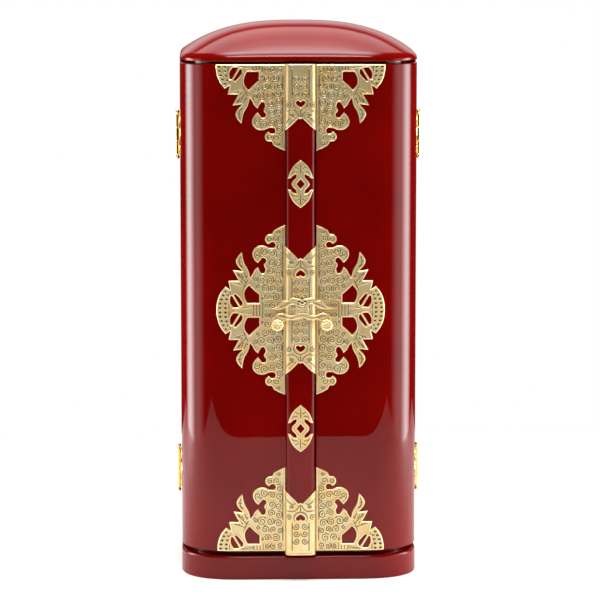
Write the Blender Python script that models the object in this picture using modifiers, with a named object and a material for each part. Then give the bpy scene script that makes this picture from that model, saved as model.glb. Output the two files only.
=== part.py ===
"""A portable shrine: a lacquered cabinet with a domed roof and two bowed doors.

Metres, +Z up. The front faces -Y and the origin is at the middle of the underside.
Each door wraps round a front corner and swings on two side hinges. Gilt openwork plates
lie on the doors, gilt sleeves clasp the upright moulding, and a latch ties the doors.
"""
import math

import bmesh
import bpy
import numpy
from mathutils import Matrix

MM = 0.001
GAP = 0.3 * MM                       # clearance between pieces that touch

# Cabinet
HEIGHT = 621 * MM
WIDTH = 265 * MM
DEPTH = 212 * MM
CORNER_REACH = 68 * MM               # how far the round front corners run, each way
CORNER_SQUARENESS = 2.5              # 2 is a quarter circle, and higher is squarer
CORNER_STEPS = 8

# Base and roof
BASE_HEIGHT = 26.8 * MM
ROOF_LIP_HEIGHT = 6.5 * MM           # upright band under the dome
DOME_RISE = 36 * MM
DOME_FLATNESS = 2.7                  # higher is flatter on top
DOME_SHOULDER = 0.9                  # lower is steeper at the rim
DOME_FLAT_COLUMNS = 4
DOME_ROWS = 12
BASE_EDGE_ROUND = 3 * MM

# Case behind the doors
SIDE_THICKNESS = 10 * MM
BACK_THICKNESS = 8 * MM
FLOOR_THICKNESS = 12 * MM
CEILING_THICKNESS = 10 * MM

# Doors
DOOR_THICKNESS = 11 * MM
DOOR_BOTTOM = 32.3 * MM
DOOR_TOP_GAP = 2.5 * MM              # below the roof
DOOR_INNER_CLEARANCE = 0.8 * MM      # from the floor and ceiling boards
SEAM_X = 16 * MM                     # right edge of the left door
SEAM_GAP = 1 * MM
HINGE_Y = -28 * MM
HINGE_GAP = 1 * MM                   # from the hinge line to each wooden edge
DOOR_EDGE_ROUND = 1.5 * MM

# Upright moulding on the left door
STRIP_WIDTH = 32 * MM
STRIP_PROUD = 8.5 * MM
STRIP_RADIUS = 6 * MM
STRIP_BOTTOM = 29.3 * MM
STRIP_STEPS = 4

# Sleeves that clasp the moulding
SLEEVE_THICKNESS = 0.8 * MM
SLEEVE_NOTCH = 14 * MM               # from the side tips to the middle of the notch
SLEEVE_HEART_DROP = 15.6 * MM        # from the notch to the heart
TOP_SLEEVE_LENGTH = 73 * MM
MIDDLE_SLEEVE_HALF = 71.5 * MM
BOTTOM_SLEEVE_LENGTH = 72.5 * MM

# Fittings on the doors
PLATE_THICKNESS = 1.2 * MM
PLATE_EDGE_GAP = 0.6 * MM            # from the door's edge, or from the moulding
DIAMOND_THICKNESS = 1 * MM
DIAMOND_RISE = 5.5 * MM              # above the middle of its stretch of bare moulding

# Latch and its two studs
LATCH_THICKNESS = 1.8 * MM
LATCH_MIDDLE_X = 1.6 * MM
STUD_REACH = 27.2 * MM               # from the latch's middle to each stud
STUD_DROP = 15.15 * MM               # below the middle of the doors
STUD_SHAFT_RADIUS = 2.2 * MM
STUD_FLANGE_RADIUS = 3.6 * MM
STUD_FLANGE_THICKNESS = 1 * MM
STUD_RUNNING_CLEARANCE = 0.4 * MM
LATCH_TO_SLEEVE = 0.6 * MM
LATCH_TO_ROSETTE = 2 * MM
ROSETTE_RADIUS = 6.8 * MM
ROSETTE_THICKNESS = 2.8 * MM
ROSETTE_PETALS = 8
ROSETTE_STEPS = 24

# Hinges
HINGE_INSET = 82 * MM                # from each end of the door to the hinge's middle
HINGE_STAND_OFF = 3 * MM             # from the side face to the pin's axis
BARREL_RADIUS = 2.6 * MM
BORE_RADIUS = 1.5 * MM
PIN_RADIUS = 1.2 * MM
KNUCKLE_HEIGHT = 15 * MM
KNUCKLE_GAP = 0.4 * MM
KNUCKLES = 3
LEAF_THICKNESS = 1 * MM
LEAF_TO_AXIS = 3.1 * MM
FINIAL_RADIUS = 2.5 * MM
ROUND_SIDES = 10

# Places worked out from the sizes above
HALF_WIDTH = WIDTH / 2
HALF_DEPTH = DEPTH / 2
ROOF_BOTTOM = HEIGHT - DOME_RISE - ROOF_LIP_HEIGHT
DOOR_TOP = ROOF_BOTTOM - DOOR_TOP_GAP
DOOR_MIDDLE = (DOOR_BOTTOM + DOOR_TOP) / 2
STUD_Z = DOOR_MIDDLE - STUD_DROP
FLAT_HALF = HALF_WIDTH - CORNER_REACH
CORNER_Y = CORNER_REACH - HALF_DEPTH
RIGHT_EDGE_X = SEAM_X + SEAM_GAP
HINGE_X = HALF_WIDTH + HINGE_STAND_OFF
STRIP_FRONT = HALF_DEPTH + STRIP_PROUD
SLEEVE_FRONT = STRIP_FRONT + GAP + SLEEVE_THICKNESS
LATCH_BACK = SLEEVE_FRONT + LATCH_TO_SLEEVE
ROSETTE_BACK = LATCH_BACK + LATCH_THICKNESS + LATCH_TO_ROSETTE
PLATE_FRONT = HALF_DEPTH + GAP + PLATE_THICKNESS
TOP_TIP = DOOR_TOP - TOP_SLEEVE_LENGTH
UPPER_TIP = DOOR_MIDDLE + MIDDLE_SLEEVE_HALF
LOWER_TIP = DOOR_MIDDLE - MIDDLE_SLEEVE_HALF
BOTTOM_TIP = STRIP_BOTTOM + BOTTOM_SLEEVE_LENGTH
QUARTER = math.pi / 2


def corner_point(turn, lift=0):
    """A plan point of the right front corner, where its face has turned by an angle.

    The corner is a quarter of a superellipse, so it leaves the flat front gently.
    """
    share = math.tan(min(turn, QUARTER - 1e-9)) ** (1 / (CORNER_SQUARENESS - 1))
    back = CORNER_REACH / (1 + share ** CORNER_SQUARENESS) ** (1 / CORNER_SQUARENESS)
    return (FLAT_HALF + share * back + lift * math.sin(turn),
            CORNER_Y - back - lift * math.cos(turn))


def corner_lengths():
    """Lengths along the corner's face up to each degree of its turn."""
    points = [corner_point(math.radians(degree)) for degree in range(91)]
    steps = [math.dist(first, second) for first, second in zip(points, points[1:])]
    return numpy.concatenate([[0], numpy.cumsum(steps)])


CORNER_LENGTHS = corner_lengths()
CORNER_LENGTH = CORNER_LENGTHS[-1]
HINGE_ALONG = FLAT_HALF + CORNER_LENGTH + HINGE_Y - CORNER_Y


def clear_scene():
    """Remove every object that is already in the scene."""
    for item in list(bpy.data.objects):
        bpy.data.objects.remove(item, do_unlink=True)


def make_collection(name):
    """Make a collection in the scene."""
    collection = bpy.data.collections.new(name)
    bpy.context.scene.collection.children.link(collection)
    return collection


def make_material(name, red, green, blue, roughness, metallic):
    """Make a plain finish from a linear colour."""
    material = bpy.data.materials.new(name)
    material.use_nodes = True
    shader = material.node_tree.nodes["Principled BSDF"]
    shader.inputs["Base Color"].default_value = (red, green, blue, 1)
    shader.inputs["Roughness"].default_value = roughness
    shader.inputs["Metallic"].default_value = metallic
    return material


def place(name, mesh, finish):
    """Put a finished mesh in the shrine's collection as a named object."""
    mesh.name = name
    mesh.materials.clear()
    mesh.materials.append(FINISHES[finish])
    piece = bpy.data.objects.new(name, mesh)
    SHRINE.objects.link(piece)
    return piece


def mesh_of(item):
    """Turn a curve, or an object with modifiers, into a welded mesh and remove it."""
    graph = bpy.context.evaluated_depsgraph_get()
    mesh = bpy.data.meshes.new_from_object(item.evaluated_get(graph))
    mesh.transform(item.matrix_world)
    bpy.data.objects.remove(item, do_unlink=True)
    shape = bmesh.new()
    shape.from_mesh(mesh)
    bmesh.ops.remove_doubles(shape, verts=shape.verts, dist=0.00001)
    bmesh.ops.recalc_face_normals(shape, faces=shape.faces)
    shape.to_mesh(mesh)
    shape.free()
    return mesh


def arc(centre_x, centre_y, radius, start, end, steps):
    """Points along an arc, with its angles in degrees."""
    angles = [math.radians(start + (end - start) * step / steps) for step in range(steps + 1)]
    return [(centre_x + radius * math.cos(a), centre_y + radius * math.sin(a)) for a in angles]


def corner(u, v):
    """A sharp point of an outline."""
    return (u, v, "VECTOR")


def bend(u, v):
    """A point that an outline passes smoothly."""
    return (u, v, "AUTO")


def flat_solid(contours, thickness, detail=2):
    """Fill closed outlines, the first outside and the rest holes, as a flat solid in XY."""
    drawing = bpy.data.curves.new("outline", "CURVE")
    drawing.dimensions = "2D"
    drawing.fill_mode = "BOTH"
    drawing.extrude = thickness / 2
    drawing.resolution_u = detail
    for contour in contours:
        spline = drawing.splines.new("BEZIER")
        spline.bezier_points.add(len(contour) - 1)
        spline.use_cyclic_u = True
        for point, (u, v, handle) in zip(spline.bezier_points, contour):
            point.co = (u, v, 0)
            point.handle_left_type = handle
            point.handle_right_type = handle
    item = bpy.data.objects.new("outline", drawing)
    SHRINE.objects.link(item)
    return mesh_of(item)


def prism(name, outline, low, high, edge, finish):
    """Stand a plan outline up between two heights and round its edges."""
    mesh = flat_solid([[corner(x, y) for x, y in outline]], high - low)
    mesh.transform(Matrix.Translation((0, 0, (low + high) / 2)))
    shape = bmesh.new()
    shape.from_mesh(mesh)
    bmesh.ops.dissolve_limit(shape, angle_limit=math.radians(1), verts=shape.verts,
                             edges=shape.edges)
    shape.to_mesh(mesh)
    shape.free()
    piece = place(name, mesh, finish)
    if edge:
        rounding = piece.modifiers.new("rounded edges", "BEVEL")
        rounding.width = edge
        rounding.segments = 2
        rounding.limit_method = "ANGLE"
        rounding.angle_limit = math.radians(40)
    return piece


def turned(profile, sides):
    """Spin a profile of radius and height round the Z axis into a solid."""
    mesh = bpy.data.meshes.new("profile")
    points = [(radius, 0, height) for radius, height in profile]
    mesh.from_pydata(points, [(i, i + 1) for i in range(len(points) - 1)], [])
    item = bpy.data.objects.new("profile", mesh)
    SHRINE.objects.link(item)
    spin = item.modifiers.new("spin", "SCREW")
    spin.steps = sides
    spin.render_steps = sides
    spin.use_merge_vertices = True
    spin.merge_threshold = 0.00001
    return mesh_of(item)


def corner_line(lift):
    """Plan points round the right front corner, from the front to the side."""
    turns = [QUARTER * step / CORNER_STEPS for step in range(CORNER_STEPS + 1)]
    return [corner_point(turn, lift) for turn in turns]


def plan_outline(inset, rear):
    """The cabinet's plan, drawn in by an inset at the front and sides, back to a rear line."""
    right = corner_line(-inset)
    left = [(-x, y) for x, y in reversed(right)]
    half = HALF_WIDTH - inset
    return right + [(half, rear), (-half, rear)] + left


def on_shell(along, lift):
    """A plan point on the doors and sides, measured along the face from the middle.

    The face is flat, then turns the front corner, then runs straight to the back.
    """
    side = math.copysign(1, along)
    past = abs(along) - FLAT_HALF
    if past <= 0:
        return along, -HALF_DEPTH - lift
    if past <= CORNER_LENGTH:
        turn = math.radians(numpy.interp(past, CORNER_LENGTHS, range(91)))
        x, y = corner_point(turn, lift)
        return side * x, y
    return side * (HALF_WIDTH + lift), CORNER_Y + past - CORNER_LENGTH


def on_strip(along, lift):
    """A plan point on the upright moulding, measured across its face from the middle."""
    side = math.copysign(1, along)
    distance = abs(along)
    flat = STRIP_WIDTH / 2 - STRIP_RADIUS
    quarter = STRIP_RADIUS * QUARTER
    if distance <= flat:
        return along, -STRIP_FRONT - lift
    if distance <= flat + quarter:
        turn = (distance - flat) / STRIP_RADIUS
        reach = STRIP_RADIUS + lift
        return (side * (flat + reach * math.sin(turn)),
                STRIP_RADIUS - STRIP_FRONT - reach * math.cos(turn))
    return side * (STRIP_WIDTH / 2 + lift), STRIP_RADIUS - STRIP_FRONT + distance - flat - quarter


def shell_folds():
    """Where a sheet on the shell is cut across so that it can follow the corner."""
    degrees = [90 * step / CORNER_STEPS for step in range(CORNER_STEPS + 1)]
    steps = numpy.interp(degrees, range(91), CORNER_LENGTHS)
    return [side * (FLAT_HALF + step) for side in (-1, 1) for step in steps]


def strip_folds():
    """Where a sheet on the moulding is cut across so that it can follow the corners."""
    flat = STRIP_WIDTH / 2 - STRIP_RADIUS
    steps = [STRIP_RADIUS * QUARTER * step / STRIP_STEPS for step in range(STRIP_STEPS + 1)]
    return [side * (flat + step) for side in (-1, 1) for step in steps]


def fitted_sheet(contours, thickness, surface, folds, detail=2):
    """Cut a sheet to its outlines, along and up, and lay it over a curved face."""
    mesh = flat_solid(contours, thickness, detail)
    shape = bmesh.new()
    shape.from_mesh(mesh)
    spread = [vertex.co.x for vertex in shape.verts]
    for fold in folds:
        if min(spread) < fold < max(spread):
            everything = shape.verts[:] + shape.edges[:] + shape.faces[:]
            bmesh.ops.bisect_plane(shape, geom=everything, dist=0.000001,
                                   plane_co=(fold, 0, 0), plane_no=(1, 0, 0))
    for vertex in shape.verts:
        along, up, out = vertex.co
        x, y = surface(along, GAP + thickness / 2 + out)
        vertex.co = (x, y, up)
    bmesh.ops.remove_doubles(shape, verts=shape.verts, dist=0.000005)
    bmesh.ops.recalc_face_normals(shape, faces=shape.faces)
    shape.to_mesh(mesh)
    shape.free()
    return mesh


def placed(contour, origin_u, origin_v, across=1, upward=1):
    """Move an outline to its place, mirrored sideways or upside down where asked."""
    return [(origin_u + across * u, origin_v + upward * v, kind) for u, v, kind in contour]


def mirrored(half):
    """Close the right half of an outline with its mirror image in the upright axis."""
    other = [(-u, v, kind) for u, v, kind in reversed(half) if u > 0]
    return half + other


def in_mm(points):
    """Read an outline whose points were written in millimetres."""
    return [(u * MM, v * MM, kind) for u, v, kind in points]


def plate_half():
    """Upper half of the openwork outline: u runs outwards, v up from the middle line.

    It runs from the fan at the outer end, over the three-bladed leaf, the boss and the
    two hooked clouds, to the tip beside the seam.
    """
    fan = [bend(75.4, 8.1), bend(71.8, 18.7), corner(66.2, 26.5), corner(60.6, 23)]
    leaf = [corner(62.7, 32.9), corner(51.4, 32.9), corner(57.8, 44.9), corner(47.2, 43.5),
            bend(54.3, 54), bend(52.2, 60), corner(48, 64.8), bend(45.7, 53.5), bend(40.9, 44.3),
            corner(39.1, 36.5)]
    boss = [bend(36, 40.7), bend(34, 44.6), corner(30.3, 48.1), bend(28.2, 43.8), bend(24.6, 41)]
    keyhole = [bend(21.9, 45.4), bend(23.6, 50.4), bend(21.1, 55.6), bend(24.6, 58.4),
               bend(27.6, 55.8)]
    cloud = [corner(30.3, 52.4), bend(34.2, 56.6), bend(36.2, 63.4), bend(33.2, 69.4),
             bend(25.3, 71.9), corner(17.6, 69.4)]
    small_cloud = [bend(12.2, 69.9), bend(10.9, 73.4), bend(14, 76), corner(18.6, 73.4),
                   bend(22.1, 77.6), bend(20.4, 83.4), corner(14.8, 84.6), corner(12.6, 88.8),
                   corner(6.4, 92.2)]
    tip = [corner(0, 94.6)]
    return in_mm(fan + leaf + boss + keyhole + cloud + small_cloud + tip)


def plate_holes():
    """Openings in the upper half: beside the boss, and on both sides of the thin wire."""
    eye = [corner(40.1, 28), bend(35.6, 23.4), corner(28.8, 17.4), corner(28.8, 8.1),
           corner(41.8, 8.1), bend(44.6, 13.4), bend(45, 21)]
    outer_slot = [corner(60.8, 16), corner(58.6, 16), corner(51.2, 3.4), corner(57.6, 3.2),
                  bend(61, 8.8)]
    inner_slot = [corner(55.2, 18.4), corner(56.8, 17), corner(49.4, 4.8), corner(48.2, 5),
                  bend(47.3, 8.4), bend(50.2, 13.2)]
    return [in_mm(eye), in_mm(outer_slot), in_mm(inner_slot)]


def whole_plate():
    """Outlines of the middle plate: the upper half and its reflection below."""
    half = plate_half()
    below = [(u, -v, kind) for u, v, kind in reversed(half)]
    middle = in_mm([bend(76.1, 0)])
    holes = plate_holes()
    lower_holes = [[(u, -v, kind) for u, v, kind in reversed(hole)] for hole in holes]
    return [middle + half + below] + holes + lower_holes


def half_plate():
    """Outlines of a plate that is cut straight along the middle line."""
    foot = in_mm([corner(0, 0), corner(76.1, 0)])
    return [foot + plate_half()] + plate_holes()


def plates():
    """Six openwork plates: whole ones at mid height, half ones at both ends of the doors."""
    edges = {"left": (-1, STRIP_WIDTH / 2), "right": (1, RIGHT_EDGE_X)}
    for side, (across, edge) in edges.items():
        start = across * (edge + PLATE_EDGE_GAP)
        for level, outlines, height, upward in (
                ("top", half_plate(), DOOR_TOP - PLATE_EDGE_GAP, -1),
                ("middle", whole_plate(), DOOR_MIDDLE, 1),
                ("bottom", half_plate(), DOOR_BOTTOM + PLATE_EDGE_GAP, 1)):
            contours = [placed(line, start, height, across, upward) for line in outlines]
            mesh = fitted_sheet(contours, PLATE_THICKNESS, on_shell, shell_folds())
            place(f"{side}_{level}_plate", mesh, "gilt")


def heart(height, upward):
    """A heart-shaped hole in a sleeve, with its point towards the notch."""
    half = in_mm([corner(0, 3.8), bend(3.4, 1.4), bend(5.2, -1.6), bend(3, -3.6),
                  corner(0, -2)])
    other = [(-u, v, kind) for u, v, kind in reversed(half[1:-1])]
    return placed(half + other, 0, height, 1, upward)


def notched_end(height, upward):
    """The ogee end of a sleeve: a side tip, a belly and the notch at the middle."""
    rim = sleeve_reach()
    notch = height - upward * SLEEVE_NOTCH
    return [corner(rim, height), bend(rim * 0.8, height - upward * SLEEVE_NOTCH * 0.1),
            bend(rim * 0.42, height - upward * SLEEVE_NOTCH * 0.55), corner(rim * 0.12, notch),
            corner(0, notch + upward * SLEEVE_NOTCH * 0.07)]


def sleeve_reach():
    """Half the developed width of a sleeve, down to just above the plates."""
    flat = STRIP_WIDTH / 2 - STRIP_RADIUS
    flank = STRIP_FRONT - STRIP_RADIUS - PLATE_FRONT - GAP
    return flat + STRIP_RADIUS * QUARTER + flank


def sleeves():
    """Three gilt sleeves with notched ends and heart-shaped holes."""
    rim = sleeve_reach()
    heart_depth = SLEEVE_NOTCH + SLEEVE_HEART_DROP
    shapes = {
        "top_sleeve": (
            mirrored([corner(rim, DOOR_TOP)] + notched_end(TOP_TIP, -1)),
            [heart(TOP_TIP + heart_depth, -1)]),
        "middle_sleeve": (
            mirrored(notched_end(UPPER_TIP, 1)[::-1] + notched_end(LOWER_TIP, -1)),
            [heart(UPPER_TIP - heart_depth, 1), heart(LOWER_TIP + heart_depth, -1)]),
        "bottom_sleeve": (
            mirrored(notched_end(BOTTOM_TIP, 1)[::-1] + [corner(rim, STRIP_BOTTOM)]),
            [heart(BOTTOM_TIP - heart_depth, 1)]),
    }
    for name, (outside, hearts) in shapes.items():
        mesh = fitted_sheet([outside] + hearts, SLEEVE_THICKNESS, on_strip, strip_folds())
        place(name, mesh, "gilt")


def diamonds():
    """Two small ornaments: a pierced diamond between two horned leaves."""
    quarter = in_mm([bend(9.6, 0), corner(4.6, 7.2), corner(4.2, 10.8), bend(8.4, 9.2),
                     bend(11, 6.6), corner(13.8, 6), bend(11.8, 11.8), bend(9.6, 17),
                     bend(6, 21.6), corner(0, 26.4)])
    lower = [(u, -v, kind) for u, v, kind in reversed(quarter[1:])]
    outside = mirrored(lower + quarter)
    hole = mirrored(in_mm([corner(0, -5.4), corner(4.6, 0), corner(0, 5.4)]))
    for level, low, high in (("upper", UPPER_TIP, TOP_TIP), ("lower", BOTTOM_TIP, LOWER_TIP)):
        height = (low + high) / 2 + DIAMOND_RISE
        contours = [placed(outside, 0, height), placed(hole, 0, height)]
        mesh = fitted_sheet(contours, DIAMOND_THICKNESS, on_strip, strip_folds())
        place(f"{level}_diamond", mesh, "gilt")


def door_outline(side):
    """Plan of one door: the outer face from the seam to the hinge, and back inside."""
    start = -SEAM_X if side < 0 else RIGHT_EDGE_X
    rear = HINGE_Y - HINGE_GAP
    points = [(start, -HALF_DEPTH)] + corner_line(0) + [(HALF_WIDTH, rear)]
    points += [(HALF_WIDTH - DOOR_THICKNESS, rear)] + corner_line(-DOOR_THICKNESS)[::-1]
    points += [(start, DOOR_THICKNESS - HALF_DEPTH)]
    return [(side * x, y) for x, y in points]


def doors():
    """Two bowed doors that meet beside the upright moulding."""
    for name, side in (("left_door", -1), ("right_door", 1)):
        prism(name, door_outline(side), DOOR_BOTTOM, DOOR_TOP, DOOR_EDGE_ROUND, "lacquer")


def centre_strip():
    """The upright moulding, fixed on the left door, with rounded front corners."""
    half = STRIP_WIDTH / 2
    flat = half - STRIP_RADIUS
    centre_y = STRIP_RADIUS - STRIP_FRONT
    back = -HALF_DEPTH - GAP
    right = arc(flat, centre_y, STRIP_RADIUS, -90, 0, STRIP_STEPS)
    left = arc(-flat, centre_y, STRIP_RADIUS, 180, 270, STRIP_STEPS)
    outline = right + [(half, back), (-half, back)] + left
    prism("centre_strip", outline, STRIP_BOTTOM, DOOR_TOP, 0, "lacquer")


def case():
    """Base, boards, sides and back: the box that carries the doors and the roof."""
    prism("base", plan_outline(0, HALF_DEPTH), 0, BASE_HEIGHT, BASE_EDGE_ROUND, "lacquer")
    inner_inset = DOOR_THICKNESS + DOOR_INNER_CLEARANCE
    board_rear = HALF_DEPTH - BACK_THICKNESS - GAP
    board = plan_outline(inner_inset, board_rear)
    low = BASE_HEIGHT + GAP
    high = ROOF_BOTTOM - GAP
    prism("floor_board", board, low, low + FLOOR_THICKNESS, 0, "gold_ground")
    prism("ceiling_board", board, high - CEILING_THICKNESS, high, 0, "gold_ground")
    front = HINGE_Y + HINGE_GAP
    for name, side in (("left_side", -1), ("right_side", 1)):
        outer = side * HALF_WIDTH
        inner = side * (HALF_WIDTH - SIDE_THICKNESS)
        outline = [(outer, front), (outer, board_rear), (inner, board_rear), (inner, front)]
        prism(name, outline, low, high, DOOR_EDGE_ROUND, "lacquer")
    back_front = HALF_DEPTH - BACK_THICKNESS
    outline = [(-HALF_WIDTH, back_front), (HALF_WIDTH, back_front),
               (HALF_WIDTH, HALF_DEPTH), (-HALF_WIDTH, HALF_DEPTH)]
    prism("back_board", outline, low, high, DOOR_EDGE_ROUND, "lacquer")


def dome(share):
    """Height of the dome at a share of the way from its middle to its rim."""
    return max(0, 1 - abs(share) ** DOME_FLATNESS) ** DOME_SHOULDER


def roof():
    """A pillow dome on an upright lip, with the same plan as the doors below it."""
    columns = 2 * (CORNER_STEPS + DOME_FLAT_COLUMNS)
    flat_share = DOME_FLAT_COLUMNS / (CORNER_STEPS + DOME_FLAT_COLUMNS)
    lip_top = ROOF_BOTTOM + ROOF_LIP_HEIGHT
    shape = bmesh.new()
    bmesh.ops.create_grid(shape, x_segments=columns, y_segments=DOME_ROWS, size=1)
    for vertex in shape.verts:
        column = abs(vertex.co.x)
        turn = max(0, column - flat_share) / (1 - flat_share) * QUARTER
        corner_x, front = corner_point(turn)
        reach = corner_x - FLAT_HALF + min(column / flat_share, 1) * FLAT_HALF
        row = math.sin(vertex.co.y * QUARTER)
        y = front + (HALF_DEPTH - front) * (row + 1) / 2
        z = lip_top + DOME_RISE * dome(reach / HALF_WIDTH) * dome(row)
        vertex.co = (math.copysign(reach, vertex.co.x), y, z)
    rim = [edge for edge in shape.edges if edge.is_boundary]
    lip = bmesh.ops.extrude_edge_only(shape, edges=rim)["geom"]
    lowered = [item for item in lip if isinstance(item, bmesh.types.BMVert)]
    for vertex in lowered:
        vertex.co.z = ROOF_BOTTOM
    underside = [edge for edge in shape.edges if edge.is_boundary]
    bmesh.ops.edgeloop_fill(shape, edges=underside)
    bmesh.ops.recalc_face_normals(shape, faces=shape.faces)
    mesh = bpy.data.meshes.new("roof")
    shape.to_mesh(mesh)
    shape.free()
    mesh.shade_smooth()
    mesh.set_sharp_from_angle(angle=math.radians(35))
    place("roof", mesh, "lacquer")


def latch_half(lug):
    """Half of the latch, outwards from its middle: ribbon below, wing-shaped cloud above."""
    foot = in_mm([corner(0, 8.6), bend(5.6, 6.4), bend(11.6, 5.2), bend(17, 5.8)])
    ribbon = in_mm([corner(32.6, 8), bend(27.4, 12.2), bend(22.2, 13.2), bend(16, 11.2),
                    bend(10.6, 10.6)])
    under_wing = in_mm([corner(7, 12.4), corner(7, 22.4), bend(13, 22.2), bend(18.2, 19.4),
                        bend(26, 17.2)])
    crest = in_mm([corner(34.2, 18), bend(27.4, 20.6), bend(22.8, 25.4), corner(20.2, 27.4),
                   bend(16.4, 27), corner(13.6, 29.2), bend(9.8, 30.4), bend(6.4, 29.6),
                   corner(2.8, 29), corner(0, 35)])
    return foot + lug + ribbon + under_wing + crest


def latch():
    """Openwork bar over the seam: its left lug turns on one stud, its right rests on one.

    The right lug lies on top of the stud and is open on its outer side.
    """
    bore = STUD_SHAFT_RADIUS + STUD_RUNNING_CLEARANCE
    ring = arc(STUD_REACH, 0, 2 * bore, 155, 385, 10)
    rest = [(STUD_REACH - STUD_SHAFT_RADIUS, bore), (STUD_REACH + STUD_SHAFT_RADIUS, bore)]
    right = latch_half([corner(u, v) for u, v in rest])
    left = latch_half([corner(u, v) for u, v in ring])
    outside = right + [(-u, v, kind) for u, v, kind in reversed(left) if u > 0]
    hole = [corner(u, v) for u, v in arc(-STUD_REACH, 0, bore, 0, 330, 11)]
    mesh = flat_solid([outside, hole], LATCH_THICKNESS)
    upright = Matrix.Rotation(QUARTER, 4, "X")
    middle = -LATCH_BACK - LATCH_THICKNESS / 2
    mesh.transform(Matrix.Translation((LATCH_MIDDLE_X, middle, STUD_Z)) @ upright)
    place("latch", mesh, "gilt")


def studs():
    """Two studs with rosette heads: the latch turns on the left one."""
    back = PLATE_FRONT + GAP
    flange = back + STUD_FLANGE_THICKNESS
    tip = ROSETTE_BACK + ROSETTE_THICKNESS
    profile = [(0, tip - 0.8 * MM), (0.3 * ROSETTE_RADIUS, tip),
               (0.45 * ROSETTE_RADIUS, tip - 0.9 * MM), (0.8 * ROSETTE_RADIUS, tip - 0.6 * MM),
               (ROSETTE_RADIUS, ROSETTE_BACK + 0.8 * MM), (0.95 * ROSETTE_RADIUS, ROSETTE_BACK),
               (STUD_SHAFT_RADIUS, ROSETTE_BACK), (STUD_SHAFT_RADIUS, flange),
               (STUD_FLANGE_RADIUS, flange), (STUD_FLANGE_RADIUS, back), (0, back)]
    for name, side in (("left_stud", -1), ("right_stud", 1)):
        mesh = turned(profile, ROSETTE_STEPS)
        for vertex in mesh.vertices:
            radius = math.hypot(vertex.co.x, vertex.co.y)
            if radius > STUD_FLANGE_RADIUS + GAP:
                petal = math.cos(ROSETTE_PETALS * math.atan2(vertex.co.y, vertex.co.x))
                scallop = 0.95 + 0.05 * petal
                vertex.co.x *= scallop
                vertex.co.y *= scallop
        mesh.transform(Matrix.Rotation(QUARTER, 4, "X"))
        mesh.transform(Matrix.Translation((LATCH_MIDDLE_X + side * STUD_REACH, 0, STUD_Z)))
        place(name, mesh, "gilt")


def leaf_outline(first, last, ahead, side, height):
    """Outline of a hinge leaf that carries the knuckles from first to last, two apart.

    Its inner edge keeps off the barrel, and a tab reaches the axis at each own knuckle.
    """
    half = KNUCKLES * KNUCKLE_HEIGHT / 2
    inner = [corner(LEAF_TO_AXIS, half)]
    for index in range(first, last + 1, 2):
        top = half - index * KNUCKLE_HEIGHT - KNUCKLE_GAP / 2
        low = top - KNUCKLE_HEIGHT + KNUCKLE_GAP
        inner += [corner(LEAF_TO_AXIS, top), corner(0.2 * MM, top), corner(0.2 * MM, low),
                  corner(LEAF_TO_AXIS, low)]
    inner.append(corner(LEAF_TO_AXIS, -half))
    spray = in_mm([bend(10, -20.5), bend(14.5, -15), corner(12.8, -10.5), bend(19, -7),
                   corner(24, 0)])
    rising = [(u, -v, kind) for u, v, kind in reversed(spray[:-1])]
    outline = inner[1:-1] if first == 0 else inner
    return placed(outline + spray + rising, side * HINGE_ALONG, height, side * ahead)


def knuckle(height):
    """One bored knuckle of a hinge barrel, centred on a height."""
    half = (KNUCKLE_HEIGHT - KNUCKLE_GAP) / 2
    ring = [(BARREL_RADIUS, height + half), (BARREL_RADIUS, height - half),
            (BORE_RADIUS, height - half), (BORE_RADIUS, height + half),
            (BARREL_RADIUS, height + half)]
    return turned(ring, ROUND_SIDES)


def hinge_leaf(name, indices, ahead, side, height):
    """A leaf on the wood, united with its knuckles."""
    outline = leaf_outline(indices[0], indices[-1], ahead, side, height)
    mesh = fitted_sheet([outline], LEAF_THICKNESS, on_shell, shell_folds(), detail=1)
    leaf = place(name, mesh, "gilt")
    middle = (KNUCKLES - 1) / 2
    for index in indices:
        ring = knuckle(height + (middle - index) * KNUCKLE_HEIGHT)
        ring.transform(Matrix.Translation((side * HINGE_X, HINGE_Y, 0)))
        cutter = bpy.data.objects.new(f"{name}_knuckle_{index}", ring)
        cutter.hide_render = True
        cutter.display_type = "WIRE"
        CUTTERS.objects.link(cutter)
        join = leaf.modifiers.new("knuckle", "BOOLEAN")
        join.operation = "UNION"
        join.solver = "EXACT"
        join.object = cutter


def hinges():
    """Four hinges, two on each side: case leaf, door leaf and a pin with ball ends."""
    barrel_half = KNUCKLES * KNUCKLE_HEIGHT / 2
    neck = barrel_half + GAP
    ball = neck + FINIAL_RADIUS
    upper = [(0, ball + FINIAL_RADIUS)] + arc(0, ball, FINIAL_RADIUS, 60, -30, 3)
    upper.append((PIN_RADIUS, neck))
    profile = upper + [(radius, -height) for radius, height in reversed(upper)]
    levels = (("upper", DOOR_TOP - HINGE_INSET), ("lower", DOOR_BOTTOM + HINGE_INSET))
    for level, height in levels:
        for name, side in (("left", -1), ("right", 1)):
            hinge_leaf(f"{name}_{level}_case_leaf", (0, 2), 1, side, height)
            hinge_leaf(f"{name}_{level}_door_leaf", (1,), -1, side, height)
            pin = turned(profile, ROUND_SIDES)
            pin.transform(Matrix.Translation((side * HINGE_X, HINGE_Y, height)))
            place(f"{name}_{level}_hinge_pin", pin, "gilt")


clear_scene()
SHRINE = make_collection("portable_shrine")
CUTTERS = make_collection("cutters")
FINISHES = {
    "lacquer": make_material("vermilion_lacquer", 0.26, 0.004, 0.004, 0.08, 0),
    "gold_ground": make_material("gold_ground", 0.72, 0.45, 0.14, 0.35, 0.8),
    "gilt": make_material("gilt_brass", 0.9, 0.6, 0.24, 0.2, 1),
}
case()
roof()
doors()
centre_strip()
sleeves()
diamonds()
plates()
studs()
latch()
hinges()
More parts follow.
